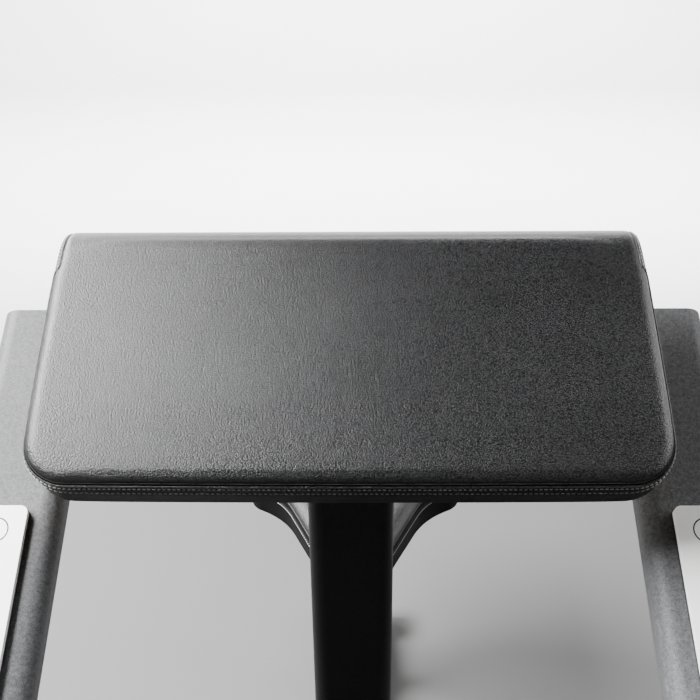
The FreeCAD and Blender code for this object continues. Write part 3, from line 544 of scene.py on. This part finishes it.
PAD_TURN = (-PAD_SLOPE, 0, 0)
PAD_VINYL = grained_vinyl("arm_pad_vinyl", PAD_TURN)
SEAT_VINYL = grained_vinyl("seat_vinyl", (0, 0, 0))
CHARCOAL = speckled_coat("charcoal_powder_coat", (0.045, 0.046, 0.048), (0.120, 0.121, 0.125), specular=0.15)
BLACK = speckled_coat("black_powder_coat", (0.001, 0.001, 0.001), (0.005, 0.005, 0.005), (0.36, 0.46), 0.1)
WEAR_WHITE = plate_with_painted_foot_shadow("wear_plate_plastic")
CAP_WHITE = moulded("wear_cap_plastic", (0.84, 0.84, 0.83), 0.42, 900, 0.12)
LINER_WHITE = moulded("hook_liner_plastic", (0.74, 0.74, 0.73), 0.45, 700, 0.15)
BLACK_PLASTIC = moulded("black_moulded_plastic", (0.012, 0.012, 0.013), 0.48)
RUBBER = moulded("black_rubber", (0.014, 0.014, 0.014), 0.82, 700, 0.35, 0.0004)
ZINC = zinc_plate("zinc_plated_steel")
CHROME = polished_chrome("chromed_post")
THREAD = twisted_thread("grey_sewing_thread", (0.40, 0.395, 0.38))
# Painted shadow: a near-black matt strip laid in the seams' creases and round the wear caps
PAINTED_SHADOW = moulded("seam_shadow", (0.004, 0.004, 0.004), 0.85, 1500, 0.2)
FLOOR = plain_floor("pale_floor")

NODE_FINISHES = {
    "arm_pad_board": birch_ply("arm_pad_plywood", PAD_TURN),
    "seat_board": birch_ply("seat_plywood", (0, 0, 0)),
    "front_cross_foot": CHARCOAL, "upper_cross_tube": CHARCOAL, "side_beam_left": CHARCOAL,
    "side_beam_right": CHARCOAL, "side_leg_left": CHARCOAL, "side_leg_right": CHARCOAL,
    "beam_upper_end_caps": CHARCOAL, "beam_lower_end_caps": CHARCOAL, "bar_hook_left": CHARCOAL,
    "bar_hook_right": CHARCOAL,
    "arm_pad_mounting_plate": BLACK, "column": BLACK, "floor_spine": BLACK, "rear_foot": BLACK,
    "seat_mounting_plate": BLACK, "seat_sleeve": BLACK,
    "front_foot_end_caps": BLACK_PLASTIC, "rear_foot_end_caps": BLACK_PLASTIC, "sleeve_liner": BLACK_PLASTIC,
    "sleeve_liner_lip": BLACK_PLASTIC, "pin_knob": BLACK_PLASTIC,
    "front_rubber_feet": RUBBER, "rear_rubber_feet": RUBBER,
    "wear_plate_left": WEAR_WHITE, "wear_plate_right": WEAR_WHITE,
    "wear_plate_caps_left": CAP_WHITE, "wear_plate_caps_right": CAP_WHITE,
    "hook_liner_left": LINER_WHITE, "hook_liner_right": LINER_WHITE,
    "seat_post": CHROME,
}


def dress_nodes():
    for name, node in NODES.items():
        finish = NODE_FINISHES.get(name, ZINC)
        for slot in node.material_slots:
            slot.material = finish


# Cushion forms

def edge_drop(inside, radius):
    """How far a rolled edge lies under the flat: radius - sqrt(radius² - (radius - inside)²)."""
    short = np.clip(radius - inside, 0, radius)
    return radius - np.sqrt(np.maximum(radius ** 2 - short ** 2, 0))


def outline_normals(points):
    """Normals of a closed outline in its plane, pointing out of an outline that runs anticlockwise."""
    tangents = unit(np.roll(points, -1, axis=0) - np.roll(points, 1, axis=0))
    return np.stack([tangents[:, 1], -tangents[:, 0]], axis=1)


def even_outline(points, step):
    """A closed outline with its points a step apart."""
    flat = np.column_stack([points, np.zeros(len(points))])
    return resample(flat, np.tile([0.0, 0, 1], (len(flat), 1)), step, closed=True)[0][:, :2]


def swollen(name, vertices, faces, held, voxel, material):
    """The cover over its foam: the form as even small squares that lie on the form, blown up by a short
    cloth simulation. Each point keeps only its way along the normal, evened out over its neighbours and
    held between two limits: shift = limit tanh(blown / limit), with one limit outwards and one inwards."""
    piece = new_piece(name, vertices, faces, material)
    form = surface_of(piece)
    remesh = piece.modifiers.new("even_mesh", "REMESH")
    remesh.mode = "VOXEL"
    remesh.voxel_size = voxel
    keep_evaluated(piece)
    start = nearest_places(form, mesh_points(piece))
    set_mesh_points(piece, start)
    shift = np.zeros(len(start))
    group = piece.vertex_groups.new(name="held")
    group.add([int(i) for i in np.nonzero(held(start))[0]], 1.0, "REPLACE")
    cloth = piece.modifiers.new("cover", "CLOTH")
    cloth.settings.quality = CLOTH_QUALITY
    cloth.settings.mass = CLOTH_MASS
    cloth.settings.use_pressure = True
    cloth.settings.uniform_pressure_force = CLOTH_PRESSURE
    cloth.settings.vertex_group_mass = "held"
    cloth.settings.effector_weights.gravity = 0
    cloth.settings.tension_stiffness = CLOTH_STIFFNESS
    cloth.settings.compression_stiffness = CLOTH_STIFFNESS
    cloth.settings.bending_stiffness = CLOTH_BENDING
    cloth.collision_settings.use_collision = False
    cloth.point_cache.frame_start = 1
    cloth.point_cache.frame_end = CLOTH_FRAMES
    for number in range(1, CLOTH_FRAMES + 1):
        bpy.context.scene.frame_set(number)
    blown = evaluated_points(piece)
    piece.modifiers.remove(cloth)
    bpy.context.scene.frame_set(1)
    outward = evened(piece, ((blown - start) * mesh_normals(piece)).sum(axis=1))
    limit = np.where(outward > 0, SWELL_OUT, SWELL_IN)
    shift = limit * np.tanh(outward / limit)
    piece.data.attributes.new("shift", "FLOAT", "POINT").data.foreach_set("value", shift)
    finer = piece.modifiers.new("finer", "SUBSURF")
    finer.levels = finer.render_levels = 1
    keep_evaluated(piece)
    set_mesh_points(piece, nearest_places(form, mesh_points(piece)))
    shift = np.empty(len(piece.data.vertices))
    piece.data.attributes["shift"].data.foreach_get("value", shift)
    set_mesh_points(piece, mesh_points(piece) + mesh_normals(piece) * shift[:, None])
    return piece


def nearest_places(surface, points):
    return np.array([surface.find_nearest(Vector(p))[0] for p in points])


def evened(piece, values):
    """Values at a mesh's points, each averaged with its neighbours again and again."""
    ends = np.empty(len(piece.data.edges) * 2, int)
    piece.data.edges.foreach_get("vertices", ends)
    first, second = ends.reshape(-1, 2).T
    count = len(values)
    number = np.bincount(first, minlength=count) + np.bincount(second, minlength=count)
    for _ in range(EVENING_ROUNDS):
        total = np.bincount(first, values[second], count) + np.bincount(second, values[first], count)
        values = 0.5 * values + 0.5 * total / np.maximum(number, 1)
    return values


def keep_evaluated(piece):
    """Replaces a piece's mesh by the result of its modifiers, and takes the modifiers away."""
    graph = bpy.context.evaluated_depsgraph_get()
    graph.update()
    result = bpy.data.meshes.new_from_object(piece.evaluated_get(graph), depsgraph=graph)
    piece.modifiers.clear()
    old = piece.data
    piece.data = result
    bpy.data.meshes.remove(old)
    result.name = piece.name
    result.polygons.foreach_set("use_smooth", [True] * len(result.polygons))


def vertex_values(mesh, name):
    values = np.empty(len(mesh.vertices) * 3)
    mesh.vertices.foreach_get(name, values)
    return values.reshape(-1, 3)


def mesh_points(piece):
    return vertex_values(piece.data, "co")


def mesh_normals(piece):
    return vertex_values(piece.data, "normal")


def set_mesh_points(piece, points):
    piece.data.vertices.foreach_set("co", np.ascontiguousarray(points, float).ravel())
    piece.data.update()


def evaluated_points(piece):
    graph = bpy.context.evaluated_depsgraph_get()
    return vertex_values(piece.evaluated_get(graph).data, "co")


def surface_of(piece):
    points = mesh_points(piece)
    faces = [tuple(face.vertices) for face in piece.data.polygons]
    return BVHTree.FromPolygons([Vector(p) for p in points], faces)


def onto(surface, points):
    """Moves path points onto a surface, with the surface's normals smoothed along the path."""
    found = [surface.find_nearest(Vector(p)) for p in points]
    places = np.array([hit[0] for hit in found])
    normals = np.array([hit[1] for hit in found])
    for _ in range(3):
        normals[1:-1] = normals[:-2] + 2 * normals[1:-1] + normals[2:]
        normals = unit(normals)
    return places, normals


def cut_level(height, inside):
    """Keeps a cover's underside level with its board's lower face at the rim, and just above it inside."""
    return np.maximum(height, np.where(inside > RIM_WIDTH, UNDER_LIFT, 0.0))


def seam_strip(name, surface, line, radius, material, body, closed=False):
    """A thin flattened strip laid on the cover along a line."""
    path, normals = resample(*onto(surface, line), STRIP_STEP, closed)
    return tube_along(name, path, normals, radius, material, body, closed=closed,
                      flat=STRIP_FLATNESS)


def mark_painted_shade(piece, drop, radius, seam):
    """Marks the points of a cover that lie further down its edge than the seam, fading in just above it,
    where the vinyl paints shade on the cushion's sides.
    A point that is a drop below the face lies radius acos(1 - drop / radius) down the rolled edge, and
    then down the wall."""
    depth = radius * np.arccos(np.clip(1 - drop / radius, 0, 1)) + np.maximum(drop - radius, 0)
    values = ease((depth - seam) / SHADE_FADE + 1)
    piece.data.attributes.new(SHADE_ATTRIBUTE, "FLOAT", "POINT").data.foreach_set("value", values)


def distances(points, others):
    """The distance of each point from the nearest of some others."""
    return np.linalg.norm(points[:, None] - others[None], axis=2).min(axis=1)


def press_groove(piece, path, depth, width):
    """Draws the cover in along a seam: each point moves in by depth exp(-(distance / width)²)."""
    points, normals = mesh_points(piece), mesh_normals(piece)
    near = np.full(len(points), 1e9)
    for start in range(0, len(path), SEAM_CHUNK):
        near = np.minimum(near, distances(points, path[start:start + SEAM_CHUNK]))
    pull = depth * np.exp(-(near / width) ** 2)
    set_mesh_points(piece, points - normals * pull[:, None])


# Arm pad

def pad_face_height(along):
    """The pad's upper face from the side: a shallow arc up to the crest, then the roll's circle down."""
    lean = 2 * math.atan(2 * PAD_CROWN / PAD_ROLL_CENTRE)
    centre_z = PAD_FACE - PAD_ROLL * math.cos(lean)
    crest = PAD_ROLL_CENTRE + PAD_ROLL * math.sin(lean), centre_z + PAD_ROLL * math.cos(lean)
    bow = (crest[0] ** 2 / 4 + PAD_CROWN ** 2) / (2 * PAD_CROWN)
    arc = crest[1] + PAD_CROWN - bow + np.sqrt(bow ** 2 - (along - crest[0] / 2) ** 2)
    roll = centre_z + np.sqrt(np.maximum(PAD_ROLL ** 2 - (along - PAD_ROLL_CENTRE) ** 2, 0))
    return np.where(along < crest[0], arc, roll)


def pad_inside(across, along):
    """The distance from the pad's two sides, its front and their round corners, inwards."""
    side = PAD_HALF_WIDTH - np.abs(across)
    centre = PAD_HALF_WIDTH - PAD_CORNER
    corner = PAD_CORNER - np.hypot(np.abs(across) - centre, PAD_CORNER - along)
    in_corner = (np.abs(across) > centre) & (along < PAD_CORNER)
    return np.where(in_corner, corner, np.minimum(side, along))


def ease(share):
    """Goes from 0 to 1 with level ends: 3 s² - 2 s³."""
    share = np.clip(share, 0, 1)
    return share * share * (3 - 2 * share)


def pad_edge_radius(along):
    """The edge is tight along the front and grows rounder round the lower corners."""
    return PAD_FRONT_ROLL + (PAD_EDGE_ROLL - PAD_FRONT_ROLL) * ease(along / PAD_CORNER)


def pad_plan(step):
    """The pad's outline from above, anticlockwise, with its points a step apart."""
    turn = np.linspace(0, math.pi / 2, ARC_POINTS)
    centre = PAD_HALF_WIDTH - PAD_CORNER
    left = np.stack([-centre - PAD_CORNER * np.cos(turn), PAD_CORNER - PAD_CORNER * np.sin(turn)], axis=1)
    right = left[::-1] * [-1, 1]
    back = PAD_ROLL_CENTRE + PAD_ROLL
    ends = [[PAD_HALF_WIDTH, back], [-PAD_HALF_WIDTH, back]]
    return even_outline(np.vstack([left, right, ends]), step)


def wall_rings(plan, top, draw_in, seam_height, inset, count):
    """Rings up a cushion's wall from under its board. The wall is drawn in towards its foot, and the inset
    grows to its whole over three times the held height."""
    out = outline_normals(plan)
    rings = []
    for share in np.linspace(0, 1, count):
        height = (top + COVER_BELOW) * share - COVER_BELOW
        lean = draw_in * np.clip(1 - height / seam_height, 0, 1)
        lean = lean + inset * np.clip(height / HELD_HEIGHT / 3, 0, 1)
        rings.append(np.column_stack([plan - out * lean[:, None], height]))
    return rings


def pad_form(inset):
    """The pad as rings: up its wall from the underside, over the rolled edge and in to the middle.
    The height over the plan is face(along) - edge_drop(distance from the edge)."""
    plan = pad_plan(PAD_STEP)
    edge = plan - outline_normals(plan) * inset
    drawn = plan[:, 1] <= PAD_ROLL_CENTRE + PAD_ROLL - PAD_BACK_MARGIN
    top = pad_face_height(plan[:, 1]) - edge_drop(pad_inside(*plan.T), pad_edge_radius(plan[:, 1])) - inset
    top = np.maximum(top, LEAST_HEIGHT)
    rings = wall_rings(plan, top, PAD_DRAW_IN * drawn, PAD_SEAM_HEIGHT, inset, PAD_WALL_RINGS)
    middle = np.column_stack([np.clip(edge[:, 0], -PAD_MIDDLE_HALF, PAD_MIDDLE_HALF),
                              np.full(len(edge), PAD_MIDDLE_ALONG)])
    for spot in rings_inwards(edge, middle, PAD_EDGE_ROLL):
        drop = edge_drop(pad_inside(*spot.T) - inset, pad_edge_radius(spot[:, 1]))
        height = pad_face_height(spot[:, 1]) - drop - inset
        rings.append(np.column_stack([spot, np.maximum(height, LEAST_HEIGHT)]))
    rings = np.array(rings)
    count = len(plan)
    faces = grid_faces(len(rings), count).tolist()
    vertices = np.vstack([rings.reshape(-1, 3), [[0, PAD_MIDDLE_ALONG, -COVER_BELOW]]])
    last = len(vertices) - 1
    faces += [[(k + 1) % count, k, last] for k in range(count)]
    faces += closing_faces(len(rings) - 1, count)
    return vertices, faces


def rings_inwards(edge, middle, radius):
    """Rings from an outline in to a middle line: even turns over the rolled edge, radius (1 - cos t) in
    from the outline, then even steps."""
    way = middle - edge
    length = np.linalg.norm(way, axis=1, keepdims=True)
    over = radius * (1 - np.cos(np.linspace(0, math.pi / 2, ROLL_RINGS + 1)[1:]))
    shares = np.linspace(0, 1, INNER_RINGS + 1)[1:]
    return [edge + way * inwards / length for inwards in over] + [
        edge + way * (radius / length + (1 - radius / length) * share) for share in shares]


def closing_faces(row, count):
    """Closes a last ring that has shrunk to a line: each point joins the one across from it."""
    k = np.arange(count // 2)
    corners = [k, (k + 1) % count, (count - 2 - k) % count, (count - 1 - k) % count]
    return (row * count + np.stack(corners, axis=1)).tolist()


def pad_edge_frames():
    """The pad's three sewn edges as one path: where the face and the side would meet if the edge were
    sharp, the way out of the side and the way out of the face. It runs from the back of the left side
    round the front to the back of the right side."""
    roll = np.radians(np.linspace(PAD_OVER_START, PAD_OVER_END, OVER_POINTS))
    lean = 2 * math.atan(2 * PAD_CROWN / PAD_ROLL_CENTRE)
    centre_z = PAD_FACE - PAD_ROLL * math.cos(lean)
    over = np.column_stack([np.full(OVER_POINTS, -PAD_HALF_WIDTH), PAD_ROLL_CENTRE + PAD_ROLL * np.cos(roll),
                            centre_z + PAD_ROLL * np.sin(roll)])
    over_up = np.column_stack([np.zeros(OVER_POINTS), np.cos(roll), np.sin(roll)])
    down = np.linspace(PAD_ROLL_CENTRE - PAD_SIDE_START, PAD_CORNER, SIDE_POINTS)
    side = np.column_stack([np.full(SIDE_POINTS, -PAD_HALF_WIDTH), down, pad_face_height(down)])
    turn = np.linspace(0, math.pi / 2, CORNER_POINTS + 1)[1:]
    centre = PAD_HALF_WIDTH - PAD_CORNER
    bend = np.column_stack([-centre - PAD_CORNER * np.cos(turn), PAD_CORNER - PAD_CORNER * np.sin(turn)])
    bend = np.column_stack([bend, pad_face_height(bend[:, 1])])
    front = np.column_stack([np.linspace(-centre, 0, FRONT_POINTS + 1)[1:], np.zeros(FRONT_POINTS),
                             np.full(FRONT_POINTS, pad_face_height(0.0))])
    edge = np.vstack([over, side, bend, front])
    up = np.vstack([over_up, np.tile([0.0, 0, 1], (len(edge) - OVER_POINTS, 1))])
    out = np.vstack([np.tile([-1.0, 0, 0], (OVER_POINTS + SIDE_POINTS, 1)),
                     np.column_stack([-np.cos(turn), -np.sin(turn), np.zeros(CORNER_POINTS)]),
                     np.tile([0.0, -1, 0], (FRONT_POINTS, 1))])
    mirror = np.array([-1, 1, 1])
    edge = np.vstack([edge, edge[-2::-1] * mirror])
    return edge, np.vstack([out, out[-2::-1] * mirror]), np.vstack([up, up[-2::-1] * mirror])


def pad_skin(frames, down):
    """Points a given distance down the rolled edge and then the wall, at each place of the edge path."""
    edge, out, up = frames
    radius, down = pad_edge_radius(edge[:, 1])[:, None], down[:, None]
    angle = np.clip(down / radius, 0, math.pi / 2)
    below = np.maximum(down - radius * math.pi / 2, 0)
    return edge - out * radius * (1 - np.sin(angle)) - up * (radius * (1 - np.cos(angle)) + below)


def pad_depths(along, front, side, roll):
    """How far down the rolled edge a line lies: it changes slowly round the lower corners from the front
    to the sides, and quickly where the sides meet the roll at the top."""
    depth = front + (side - front) * ease(along / PAD_BEND_LENGTH)
    return depth + (roll - depth) * ease((along - PAD_STEP_START) / PAD_STEP_LENGTH)


def bow_front(piece):
    """Bows the pad's front a little outwards: along -= bow (1 - (across / half width)²), less further up."""
    local = off_pad(mesh_points(piece))
    near_front = np.clip(1 - local[:, 1] / PAD_BOW_LENGTH, 0, 1)
    local[:, 1] -= PAD_FRONT_BOW * (1 - (local[:, 0] / PAD_HALF_WIDTH) ** 2) * near_front
    set_mesh_points(piece, on_pad(local))


def arm_pad():
    rings, faces = pad_form(COVER_INSET)
    cushion = swollen("arm_pad_cushion", on_pad(rings), faces, lambda p: off_pad(p)[:, 2] < HELD_HEIGHT,
                      PAD_VOXEL, PAD_VINYL)
    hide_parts("arm_pad_cover", "arm_pad_foam")
    frames = pad_edge_frames()
    local = off_pad(mesh_points(cushion))
    inside = np.minimum(pad_inside(local[:, 0], local[:, 1]), PAD_ROLL_CENTRE + PAD_ROLL - local[:, 1])
    local[:, 2] = cut_level(local[:, 2], inside)
    set_mesh_points(cushion, on_pad(local))
    drop = pad_face_height(local[:, 1]) - local[:, 2]
    drop = np.where(local[:, 1] > PAD_STEP_START, 0, drop)
    # Painted shade on the pad's sides from the seam down
    mark_painted_shade(cushion, drop, pad_edge_radius(local[:, 1]), pad_depths(local[:, 1], *PAD_SEAM))

    def sewn_line(depths):
        return on_pad(pad_skin(frames, pad_depths(frames[0][:, 1], *depths)))

    seam = nearest_places(surface_of(cushion), sewn_line(PAD_SEAM))
    press_groove(cushion, seam, PAD_GROOVE_DEPTH, PAD_GROOVE_WIDTH)
    surface = surface_of(cushion)
    pieces = [cushion]
    # The seam strip is painted shadow in the seam's crease; the ridge is a raised fold of the vinyl
    for name, depths, radius, material in (("arm_pad_seam_painted_shade", PAD_SEAM, PAD_SEAM_RADIUS, PAINTED_SHADOW),
                                           ("arm_pad_ridge", PAD_RIDGE, PAD_RIDGE_RADIUS, PAD_VINYL)):
        pieces.append(seam_strip(name, surface, sewn_line(depths), radius, material, "frame"))
    for name, depths, pitch in (("arm_pad_stitches_upper", PAD_UPPER_ROW, PAD_UPPER_PITCH),
                                ("arm_pad_stitches_lower", PAD_LOWER_ROW, PAD_LOWER_PITCH)):
        pieces.append(stitch_row(name, *onto(surface, sewn_line(depths)), "frame", pitch))
    for piece in pieces:
        bow_front(piece)


# Seat

def seat_plan(step):
    """The saddle's outline from above: arcs through its points, each starting as the last one ended,
    mirrored about Y and with its points a step apart."""
    heading, half = 0.0, []
    for start, end in zip(SEAT_OUTLINE, SEAT_OUTLINE[1:]):
        chord = math.atan2(end[1] - start[1], end[0] - start[0])
        half_turn = (chord - heading + math.pi) % (2 * math.pi) - math.pi
        length = math.dist(start, end)
        share = np.linspace(0, 1, ARC_POINTS)[:-1]
        if abs(half_turn) < 1e-6:
            along, aside = share * length, share * 0
        else:
            radius = length / (2 * math.sin(half_turn))
            angle = share * 2 * half_turn
            along = radius * (np.sin(half_turn) - np.sin(half_turn - angle))
            aside = radius * (np.cos(half_turn) - np.cos(half_turn - angle))
        x = start[0] + along * math.cos(chord) - aside * math.sin(chord)
        y = start[1] + along * math.sin(chord) + aside * math.cos(chord)
        half.append(np.column_stack([x, y]))
        heading = chord + half_turn
    half = np.vstack(half + [[SEAT_OUTLINE[-1]]])
    return even_outline(np.vstack([half, half[-2:0:-1] * [-1, 1]]), step)


def seat_height(points, inside):
    """The seat's top: a shallow dome, thickness - r² / (2 dome), with its edge rolled over."""
    dome = SEAT_THICKNESS - (points ** 2).sum(axis=1) / (2 * SEAT_DOME)
    return dome - edge_drop(inside, SEAT_EDGE_ROLL)


def seat_form(inset):
    """The seat as rings: up its drawn-in wall, over the rolled edge and in to its middle line."""
    plan = seat_plan(SEAT_STEP)
    edge = plan - outline_normals(plan) * inset
    top = seat_height(plan, np.zeros(len(plan))) - inset
    rings = wall_rings(plan, top, SEAT_DRAW_IN, SEAT_SEAM_HEIGHT, inset, SEAT_WALL_RINGS)
    widen = np.clip((edge[:, 1] - SEAT_WIDEN_START) / SEAT_WIDEN_LENGTH, 0, 1)
    spine = np.column_stack([np.clip(edge[:, 0], -SEAT_MIDDLE_HALF, SEAT_MIDDLE_HALF) * widen,
                             np.clip(edge[:, 1], SEAT_MIDDLE_START, SEAT_MIDDLE_END)])
    for spot in rings_inwards(edge, spine, SEAT_EDGE_ROLL):
        height = seat_height(spot, np.maximum(distances(spot, plan) - inset, 0)) - inset
        rings.append(np.column_stack([spot, height]))
    rings = np.array(rings)
    count = len(plan)
    faces = grid_faces(len(rings), count).tolist()
    middles = [[0, SEAT_UNDER_MIDDLE, -COVER_BELOW], [0, 0, SEAT_THICKNESS - inset]]
    vertices = np.vstack([rings.reshape(-1, 3), middles])
    low, high = len(vertices) - 2, len(vertices) - 1
    faces += [[(k + 1) % count, k, low] for k in range(count)]
    first = (len(rings) - 1) * count
    faces += [[first + k, first + (k + 1) % count, high] for k in range(count)]
    return vertices, faces


def seat_ring(plan, out, down):
    """A line round the seat, a given distance down its rolled edge and then its wall."""
    radius = SEAT_EDGE_ROLL
    top = SEAT_THICKNESS - (plan ** 2).sum(axis=1) / (2 * SEAT_DOME)
    angle = min(down / radius, math.pi / 2)
    below = max(down - radius * math.pi / 2, 0)
    spot = plan - out * radius * (1 - math.sin(angle))
    return np.column_stack([spot, top - radius * (1 - math.cos(angle)) - below])


def seat():
    rings, faces = seat_form(COVER_INSET)
    floor = SEAT_ORIGIN[2]
    cushion = swollen("seat_cushion", on_seat(rings), faces, lambda p: p[:, 2] < floor + HELD_HEIGHT,
                      SEAT_VOXEL, SEAT_VINYL)
    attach(cushion, "seat")
    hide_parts("seat_cover", "seat_foam")
    plan = seat_plan(SEAT_STEP)
    out = outline_normals(plan)
    points = mesh_points(cushion)
    spots = points[:, :2] - SEAT_ORIGIN[:2]
    points[:, 2] = floor + cut_level(points[:, 2] - floor, distances(spots, plan))
    set_mesh_points(cushion, points)
    drop = seat_height(spots, np.full(len(points), SEAT_EDGE_ROLL)) + floor - points[:, 2]
    # Painted shade on the seat's sides from its shade depth down
    mark_painted_shade(cushion, drop, SEAT_EDGE_ROLL, SEAT_SHADE_DEPTH)

    def sewn_line(depth):
        return on_seat(seat_ring(plan, out, depth))

    seam = nearest_places(surface_of(cushion), sewn_line(SEAT_SEAM))
    press_groove(cushion, seam, SEAT_GROOVE_DEPTH, SEAT_GROOVE_WIDTH)
    surface = surface_of(cushion)
    # The seam strip is painted shadow in the seam's crease; the ridge is a raised fold of the vinyl
    for name, depth, radius, material in (("seat_seam_painted_shade", SEAT_SEAM, SEAT_SEAM_RADIUS, PAINTED_SHADOW),
                                          ("seat_ridge", SEAT_RIDGE, SEAT_RIDGE_RADIUS, SEAT_VINYL)):
        seam_strip(name, surface, sewn_line(depth), radius, material, "seat", closed=True)
    stitch_row("seat_stitches", *onto(surface, sewn_line(SEAT_ROW)), "seat", SEAT_PITCH, closed=True)


# Wear plates

def cap_shadow_rings():
    """Painted shadow round each cap: a thin flat near-black ring round the cap's middle, level with the
    plate's face, for the shade in the gap round the cap.
    """
    angle = np.linspace(0, 2 * math.pi, CAP_SHADOW_POINTS, endpoint=False)
    for side, across in (("left", -WEAR_X), ("right", WEAR_X)):
        caps = NODES["wear_plate_caps_" + side]
        corners = np.array([caps.matrix_world @ corner.co for corner in caps.data.vertices])
        along, out = off_slope(corners, BEAM_ORIGIN, BEAM_SLOPE)[:, 1:].T
        upper = along > along.mean()
        for end, some in (("upper", upper), ("lower", ~upper)):
            middle = (along[some].min() + along[some].max()) / 2
            ring = np.column_stack([across + CAP_SHADOW_RADIUS * np.cos(angle),
                                    middle + CAP_SHADOW_RADIUS * np.sin(angle),
                                    np.full(len(angle), out.max())])
            level = on_beam(ring + [0, 0, 1]) - on_beam(ring)
            tube_along("wear_cap_shadow_%s_%s" % (side, end), on_beam(ring), level, CAP_SHADOW_WIDTH / 2, PAINTED_SHADOW,
                       "frame", closed=True, flat=CAP_SHADOW_FLATNESS)


# Pull pin

def pin_spring():
    """The coil spring that shortens as the pin is pulled: (R cos t, pitch t / 2 pi, R sin t)."""
    low, high = np.array(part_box("pin_spring"))
    middle = (low + high) / 2
    coil = (high[0] - low[0]) / 2 - SPRING_WIRE_RADIUS
    turn = np.linspace(0, 2 * math.pi * SPRING_TURNS, SPRING_TURNS * SPRING_POINTS + 1)
    along = np.linspace(low[1] + SPRING_WIRE_RADIUS, high[1] - SPRING_WIRE_RADIUS, len(turn))
    out = np.column_stack([np.cos(turn), np.zeros(len(turn)), np.sin(turn)])
    path = middle * [1, 0, 1] + coil * out
    path[:, 1] = along
    spring = tube_along("pin_spring_wire", path, out, SPRING_WIRE_RADIUS, ZINC, "frame")
    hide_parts("pin_spring")
    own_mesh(spring)


# Camera, lights and floor

CAMERA_PLACE = np.array([0.0182, -0.9556, 1.3836])
CAMERA_PITCH = math.radians(29.13)
CAMERA_ROLL = math.radians(0.65)
CAMERA_FOCAL = 979.3
CAMERA_VANISH = 21.1
FRAME_SIZE = 700
SENSOR = 36.0
CLIP_NEAR, CLIP_FAR = 0.01, 100
SWEEP_FRONT = -6.0
SWEEP_START = 4.5
SWEEP_RADIUS = 1.5
SWEEP_HEIGHT = 4.0
SWEEP_HALF_WIDTH = 8.0
SWEEP_POINTS = 23
WORLD_COLOUR = (0.86, 0.87, 0.88, 1)
WORLD_STRENGTH = 0.05
# Each lamp's name, place, target, size and power
LAMPS = [("overhead_left", (-1.98, 0.08, 2.6), (-0.78, 0, 0.7), (1.9, 1.7), 660),
         ("behind_left", (-2.1, 2.3, 2.2), (-0.2, 0, 0.8), (1.6, 1.4), 170),
         ("right_panel", (2.4, 0.2, 1.9), (0.3, 0, 0.8), (1.6, 1.8), 75),
         ("backdrop", (0, 2.0, 2.8), (0, 6.7, 1.1), (5.0, 1.0), 11500)]


def look():
    """The photograph's viewpoint. The focal length in pixels comes from the 700 pixel frame, and the
    +Y direction meets the picture 21.1 pixels right of its middle."""
    yaw = math.atan(CAMERA_VANISH / CAMERA_FOCAL * math.cos(CAMERA_PITCH))
    ahead = Vector((-math.sin(yaw) * math.cos(CAMERA_PITCH), math.cos(yaw) * math.cos(CAMERA_PITCH),
                    -math.sin(CAMERA_PITCH)))
    right = ahead.cross(Vector((0, 0, 1))).normalized()
    up = right.cross(ahead)
    cos, sin = math.cos(CAMERA_ROLL), math.sin(CAMERA_ROLL)
    right, up = right * cos - up * sin, up * cos + right * sin
    data = bpy.data.cameras.new("camera")
    data.sensor_width = SENSOR
    data.lens = CAMERA_FOCAL * SENSOR / FRAME_SIZE
    data.clip_start, data.clip_end = CLIP_NEAR, CLIP_FAR
    camera = in_scene("camera", data)
    turn = Matrix((right, up, -ahead)).transposed().to_4x4()
    camera.matrix_world = Matrix.Translation(Vector(CAMERA_PLACE)) @ turn
    bpy.context.scene.camera = camera


def area_light(name, place, target, size, power):
    data = bpy.data.lights.new(name, "AREA")
    data.shape = "RECTANGLE"
    data.size, data.size_y = size
    data.energy = power
    light = in_scene(name, data)
    light.location = place
    direction = Vector(target) - Vector(place)
    light.rotation_mode = "QUATERNION"
    light.rotation_quaternion = direction.to_track_quat("-Z", "Y")


def sweep_floor():
    """A pale studio floor that curves up into a backdrop: level, then a quarter circle, then upright."""
    turn = np.linspace(0, math.pi / 2, SWEEP_POINTS + 1)[1:]
    depth = np.concatenate([[SWEEP_FRONT, SWEEP_START], SWEEP_START + SWEEP_RADIUS * np.sin(turn),
                            [SWEEP_START + SWEEP_RADIUS]])
    height = np.concatenate([[0, 0], SWEEP_RADIUS * (1 - np.cos(turn)), [SWEEP_HEIGHT]])
    sides = np.array([-SWEEP_HALF_WIDTH, SWEEP_HALF_WIDTH])
    vertices = [(x, y, z) for y, z in zip(depth, height) for x in sides]
    faces = [(2 * k, 2 * k + 1, 2 * k + 3, 2 * k + 2) for k in range(len(depth) - 1)]
    mesh = bpy.data.meshes.new("floor")
    mesh.from_pydata(vertices, [], faces)
    mesh.polygons.foreach_set("use_smooth", [True] * len(mesh.polygons))
    mesh.materials.append(FLOOR)
    ground = in_scene("floor", mesh)


def studio():
    world = bpy.data.worlds.new("studio")
    bpy.context.scene.world = world
    world.use_nodes = True
    background = world.node_tree.nodes["Background"]
    background.inputs["Color"].default_value = WORLD_COLOUR
    background.inputs["Strength"].default_value = WORLD_STRENGTH
    for lamp in LAMPS:
        area_light(*lamp)
    sweep_floor()


look()
studio()
dress_nodes()
arm_pad()
seat()
cap_shadow_rings()
pin_spring()
